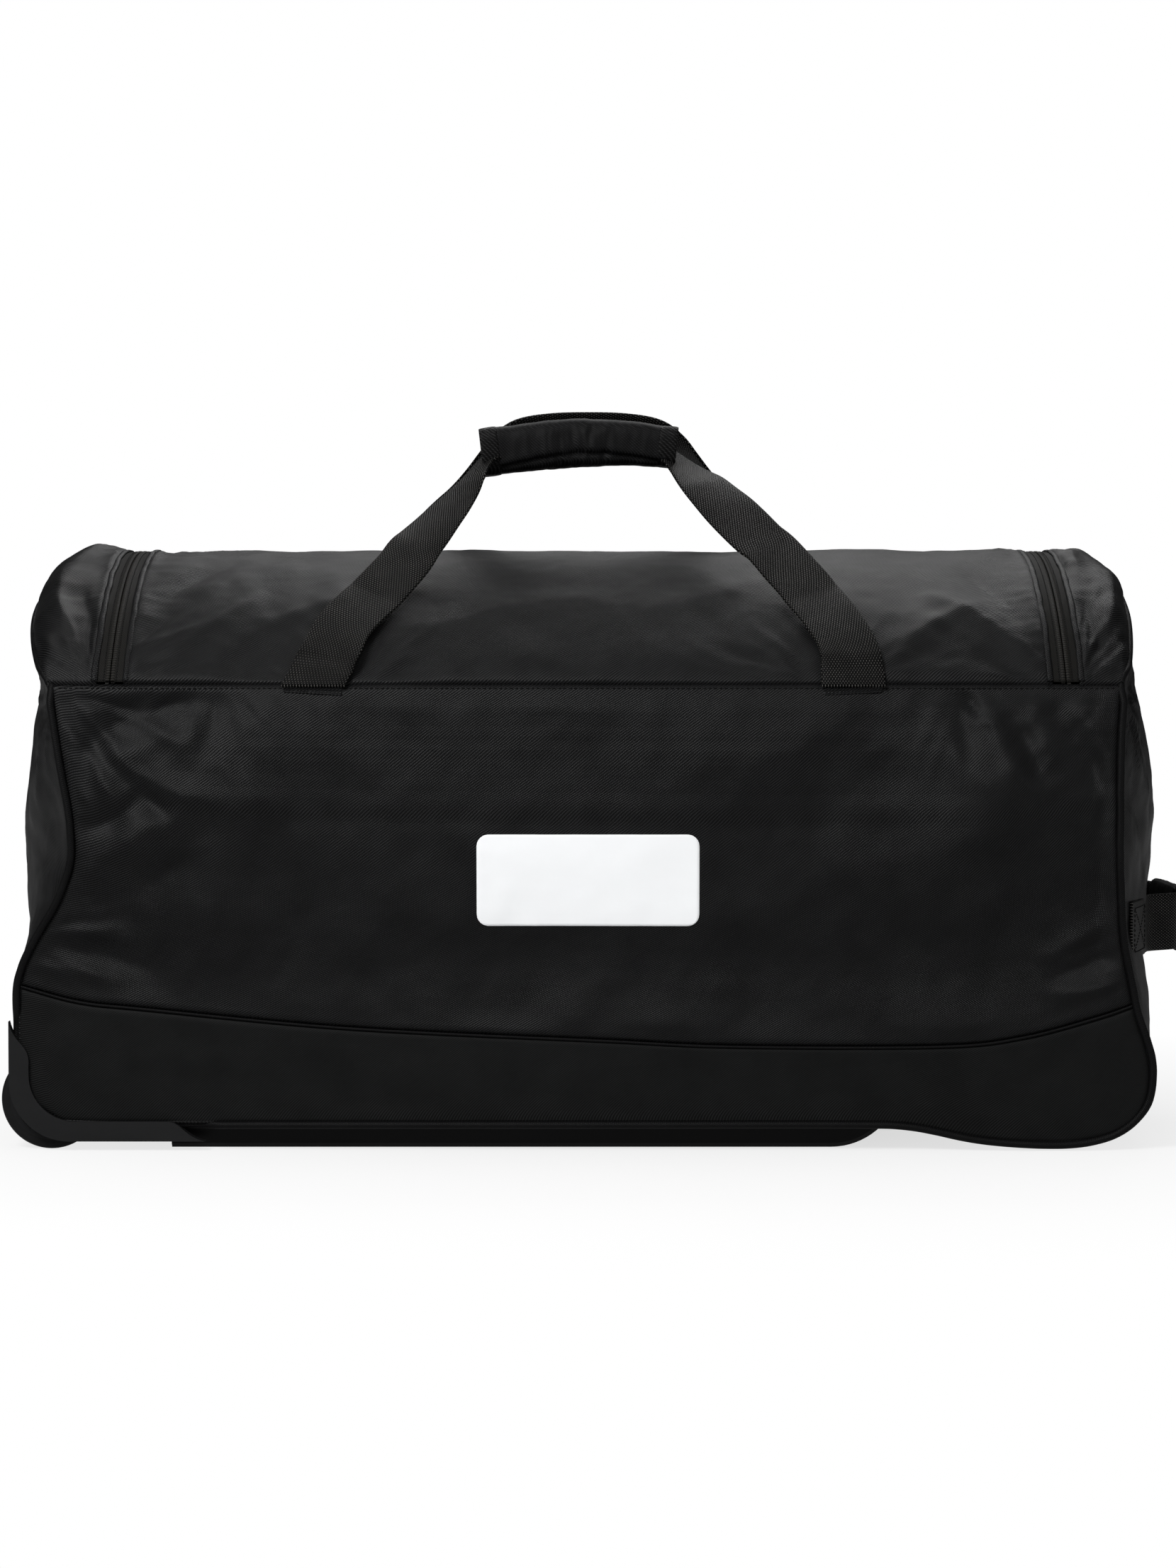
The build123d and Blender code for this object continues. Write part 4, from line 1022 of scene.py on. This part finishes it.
half_rear = [(-183, -2, 43.7, 0), (-171, 33, 40, 0), (-154, 84, 40, 0), (-137, 124, 39, -8),
             (-124, 146, 38, -15), (-113.8, 160, 37, -22), (-104.6, 174, 36, -27), (-96, 187, 35, -33),
             (-88.5, 200, 33, -41), (-79.5, 215, 31, -44), (-70, 229, 29, -38), (-60, 240, 28, -22),
             (-47, 248, 28, -6), (-26, 251.5, 28, 0), (0, 252.5, 28, 0)]
rear_leg = half_rear + [(-x, up, width, tilt) for x, up, width, tilt in half_rear[-2::-1]]
for (_, word), leg in zip(ends, (wheel_leg, pull_leg)):
    piece = strap(f"front_strap_{word}_side", -1, front_top, leg)
    finish(piece, "front_handle", "webbing", "front_handle_webbing")
piece = strap("rear_strap", 1, rear_top, rear_leg, samples=240)
finish(piece, "rear_handle", "webbing", "rear_handle_webbing")


def pad_section(half_depth, half_height, power):
    """A rounded closed outline, fuller than an ellipse, and the angles of its points."""
    angle, circle = ring_of(56)
    return angle, np.sign(circle) * np.abs(circle) ** (2 / power) * (half_depth, half_height)


def padded_tube(name, line, half_depth, half_height, power, relief, ends=6.0, tight=0.80):
    """A stuffed sleeve along a line, which closes softly at both ends."""
    angle, section = pad_section(1.0, 1.0, power)
    along = distance_along(line)
    near = np.clip(np.minimum(along, along[-1] - along) / ends, 0, 1)
    shrink = tight + (1 - tight) * np.sqrt(1 - (1 - near) ** 2)
    size = points_of(half_depth, half_height) * shrink[:, None]
    push = relief(along[:, None], angle[None, :])
    return swept(name, line, *frames_along(line, (0, 0, 1)), section * (size[:, None] + push[..., None]))


def grip_relief(along, angle):
    """The flap's edge low on the front, the puckers that gather at it, and a soft crown."""
    middle = np.sin(along / along.max() * math.pi)
    flap_edge = -math.radians(50) + math.radians(26) * middle
    away = (angle - flap_edge + math.pi) % (2 * math.pi) - math.pi
    groove = -2.0 * bump(away, 0, 0.12) + 0.9 * bump(away, 0.24, 0.2)
    gather = clouds(along, 7 * away, 7, 14.0, 2) * np.exp(-np.abs(away) / 0.8)
    loose = clouds(along, 16 * np.sin(angle) + 6 * np.cos(angle), 24, 3.0, 2)
    return groove + 1.5 * gather * (0.35 + middle**2) + 0.9 * middle + 0.8 * loose


grip_line = curve([(-75, -20.5, 481.5), (-40, -19.5, 485.5), (-4, -19, 488.6), (28, -19.5, 488),
                   (62, -20.5, 485)], 150)
grip_tall = np.interp(grip_line[:, 0], (-75, -40, 0, 40, 62), (16.6, 16.6, 16.4, 15.2, 14.0))
sleeve = padded_tube("front_grip", grip_line, 12.4, grip_tall, power=2.7, relief=grip_relief)
finish(sleeve, "front_handle", "padded_fabric", "front_grip_sleeve")
for (way, word), tall in zip(ends, (16.9, 14.4)):
    part = grip_line[::-way][:13]  # from that end of the grip inwards
    beyond = part[0] + (part[0] - part[-1]) * 0.16
    wrapped = even(np.vstack([beyond, part]), 24)[::-way]
    angle, section = pad_section(12.9, tall, power=2.9)
    share = np.linspace(0, 1, 24)[:, None]
    lips = 1 + 0.035 * (1 - np.abs(2 * share - 1) ** 6)
    rib = 1 + 0.02 * clouds(np.cos(angle) * 22, np.sin(angle) * 22 + 5 * share, 7, 8.0)
    binding = swept(f"grip_binding_tape_{word}", wrapped, *frames_along(wrapped, (0, 0, 1)),
                    section * (lips * rib)[..., None])
    finish(binding, "front_handle", "piping_tape", f"grip_binding_{word}_side", look="binding_tape")

# ---------------- strap anchors on the walls
anchor_half, anchor_tall = 20.5, 7.6
anchor_x = {-1: (wheel_leg[0][0], pull_leg[0][0]), 1: (rear_leg[0][0], rear_leg[-1][0])}
for side, word, outward in walls:
    for x_mid, (_, end) in zip(anchor_x[side], ends):
        away = np.linspace(-anchor_half, anchor_half, 34)
        drop = np.linspace(anchor_tall, -0.4, 26)[:, None]
        x = x_mid + away
        z = seam_z - drop + np.sign(x_mid) * 0.055 * away * smooth(drop / 4)
        folds = 1.1 * bump(drop, 6.1, 1.15) + 0.9 * bump(drop, 2.6, 1.5)
        lip = smooth(np.minimum(anchor_half - np.abs(away), anchor_tall - drop) / 1.2)
        lift = (1.0 + folds + 0.2 * clouds(x, z, 6, 6.0)) * lip - 0.8
        points = on_wall(points_of(x, z), side, lift)
        anchor = cloth_panel(f"{word}_anchor_{end}_side", points, outward, thickness=1.2)
        finish(anchor, "bag", "webbing", f"{word}_strap_anchor_{end}_side", look="black_twill")

# ---------------- stitches along the seams of the walls
for side, word, outward in walls:
    seam_x = np.linspace(wheel_corner[-1, 0] + 6, pull_corner[-1, 0] - 6, 700)
    sew(f"{word}_seam_stitches", on_wall(points_of(seam_x, seam_z - 2.9), side, -0.1), outward)
    hem_line = accent_line[4:-4] + (0, 2.6)
    sew(f"{word}_accent_stitches", on_wall(hem_line, side, -0.1), outward, pitch=2.9, length=2.1, radius=0.3)
    edge = tube(f"{word}_accent_edge", on_wall(accent_line, side, -0.15), radius=1.0, around=8)
    finish(edge, "bag", "piping_tape")

# ---------------- pull handle
pull_z = 148.0


def pull_end_x(y):
    """X of the pull end's surface at the handle's height."""
    return float(end_x(1, np.array(y), np.array(pull_z)))


half_loop = [(pull_end_x(y) + 1.8, y) for y in (-166, -150, -130, -112, -100)]
half_loop += [(pull_end_x(-88) + 4.5, -88), (414, -72), (pad_x - 1.5, -56), (pad_x, -30), (pad_x, 0)]
loop_x, loop_y = curve(half_loop + [(x, -y) for x, y in half_loop[-2::-1]], 220).T
path = points_of(loop_x, loop_y, pull_z)
piece = ribbon("pull_strap", path, np.broadcast_to((0, 0, 1.0), path.shape), widths=40.0, thickness=2.2)
finish(piece, "bag", "webbing", "pull_handle_webbing")

for way, word, _ in walls:
    # A sewn box with a cross at each end of the pull strap
    box = [(way * 118, -15), (way * 118, 15), (way * 160, 15), (way * 160, -15)]
    for number, (a, b) in enumerate(((0, 1), (1, 2), (2, 3), (3, 0), (0, 2), (1, 3))):
        y, rise = even([box[a], box[b]], 40).T
        on_strap = points_of(np.interp(y, loop_y, loop_x) + 1.15, y, pull_z + rise)
        sew(f"pull_stitches_{word}_{number}", on_strap, facing(1, 0, 0), pitch=3.2, length=2.3, radius=0.36)


def pull_relief(along, angle):
    """A seam along both edges of the pad's face, and its soft stuffing."""
    middle = np.sin(along / along.max() * math.pi)
    seam = -0.5 * bump(np.abs(angle - math.pi), 1.35, 0.12)
    return seam + 0.4 * middle + 0.35 * clouds(along, 20 * np.sin(angle), 12, 3)


pad_line = curve([(pad_x - 1.2, -51, pull_z), (pad_x, -25, pull_z), (pad_x + 0.2, 0, pull_z),
                  (pad_x, 25, pull_z), (pad_x - 1.2, 51, pull_z)], 90)
pad = padded_tube("pull_pad", pad_line, 4.6, 23, power=3.2, relief=pull_relief, ends=5.0)
finish(pad, "bag", "padded_fabric", "pull_handle_pad")

# ---------------- blank patch on the front
patch_low, patch_high = (np.array(corner) / MM - (middle_x / MM, 0, 0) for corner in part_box("name_patch"))
half_w, _, half_h = (patch_high - patch_low) / 2
patch_r = 8.0
turn = np.linspace(0, math.pi / 2, 12)
quarter = points_of(half_w - patch_r + patch_r * np.sin(turn), half_h - patch_r + patch_r * np.cos(turn))
top_edge = np.vstack([(quarter * (-1, 1))[::-1][6:], quarter[:6]])
right_edge = np.vstack([quarter[5:], (quarter * (1, -1))[::-1][:7]])[::-1]
grid = coons(top_edge * (1, -1), top_edge, right_edge * (-1, 1), right_edge, columns=60, rows=28)
grid = grid + ((patch_low + patch_high) / 2)[[0, 2]]
relief = front_relief(grid[..., 0], grid[..., 1])
patch = cloth_panel("blank_patch", on_wall(grid, -1, relief + 0.75), front, thickness=0.7)
finish(patch, "bag", "patch_film", "name_patch")

# ---------------- stage, camera and light
floor = mesh_object("floor", [(-6, -5, 0), (6, -5, 0), (6, 6, 0), (-6, 6, 0)], [(0, 1, 2, 3)])
floor_look = Look("floor", (0.9, 0.9, 0.9), 0.8)
rays = floor_look.node("ShaderNodeLightPath")
level = floor_look.math("MULTIPLY_ADD", (rays, "Is Glossy Ray"), -0.66, 1.0)  # dimmer in reflections
glow = floor_look.node("ShaderNodeEmission", Color=(1, 1, 1), Strength=level)
around = floor_look.node("ShaderNodeTexGradient", gradient_type="SPHERICAL",
                         Vector=floor_look.coordinates(scale=(1.1, 1.5, 1)))
far = floor_look.math("MULTIPLY_ADD", (around, "Fac"), -0.42, 1.0)  # the shadow shows only near the bag
seen = floor_look.math("ADD", (rays, "Is Glossy Ray"), (rays, "Is Camera Ray"))
whole = floor_look.node("ShaderNodeMixShader")
sources = (floor_look.math("MULTIPLY", far, seen), (floor_look.shader, "BSDF"), (glow, "Emission"))
for socket, source in zip(whole.inputs, sources):
    floor_look.feed(socket, source)
floor_look.feed(floor_look.tree.nodes["Material Output"].inputs["Surface"], (whole, "Shader"))
floor.data.materials.append(floor_look.material)

image_height, pixels_per_metre = 2212, 2100  # the scale is the one at the camera's aim
sensor = 36
distance, elevation = 2.3, math.radians(2.0)
aim = Vector((middle_x, -0.19, 0.249))
camera = bpy.data.objects.new("camera", bpy.data.cameras.new("camera"))
bpy.context.scene.collection.objects.link(camera)
bpy.context.scene.camera = camera
camera.location = aim + Vector((0, -distance * math.cos(elevation), distance * math.sin(elevation)))
camera.rotation_euler = (math.pi / 2 - elevation, 0, 0)
camera.data.sensor_fit = "VERTICAL"
camera.data.sensor_height = sensor
camera.data.lens = sensor * distance / (image_height / pixels_per_metre)


def area(name, place_at, look_at, size, power):
    """A rectangular lamp that shines at a point, with a power in watts."""
    lamp = bpy.data.objects.new(name, bpy.data.lights.new(name, "AREA"))
    lamp.data.shape = "RECTANGLE"
    lamp.data.size, lamp.data.size_y = size
    lamp.data.energy = power
    lamp.location = place_at
    lamp.rotation_euler = (Vector(look_at) - Vector(place_at)).to_track_quat("-Z", "Y").to_euler()
    bpy.context.scene.collection.objects.link(lamp)


area("key_top_left", (-1.05, -1.7, 1.75), (-0.05, -0.1, 0.25), (0.9, 0.9), 47.5)
area("fill_right", (1.9, -1.6, 1.0), (0, 0, 0.25), (1.0, 1.4), 8)
area("top", (0.1, 0.1, 2.3), (0, 0, 0.2), (2.2, 1.2), 8)
area("back", (0.2, 1.6, 2.1), (0, 0.2, 0.2), (1.6, 1.0), 20)

world = bpy.data.worlds.new("world")
bpy.context.scene.world = world
world.use_nodes = True
sky = Nodes(world.node_tree)
rays = sky.node("ShaderNodeLightPath")
level = sky.math("MULTIPLY_ADD", (rays, "Is Glossy Ray"), -0.22, 0.26)  # dimmer in reflections
level = sky.math("ADD", level, (rays, "Is Camera Ray"))  # white behind the object
level = sky.math("ADD", level, (rays, "Is Transmission Ray"))
background = sky.tree.nodes["Background"].inputs
sky.feed(background["Color"], (1, 1, 1))
sky.feed(background["Strength"], level)

bpy.context.scene.view_settings.view_transform = "Standard"
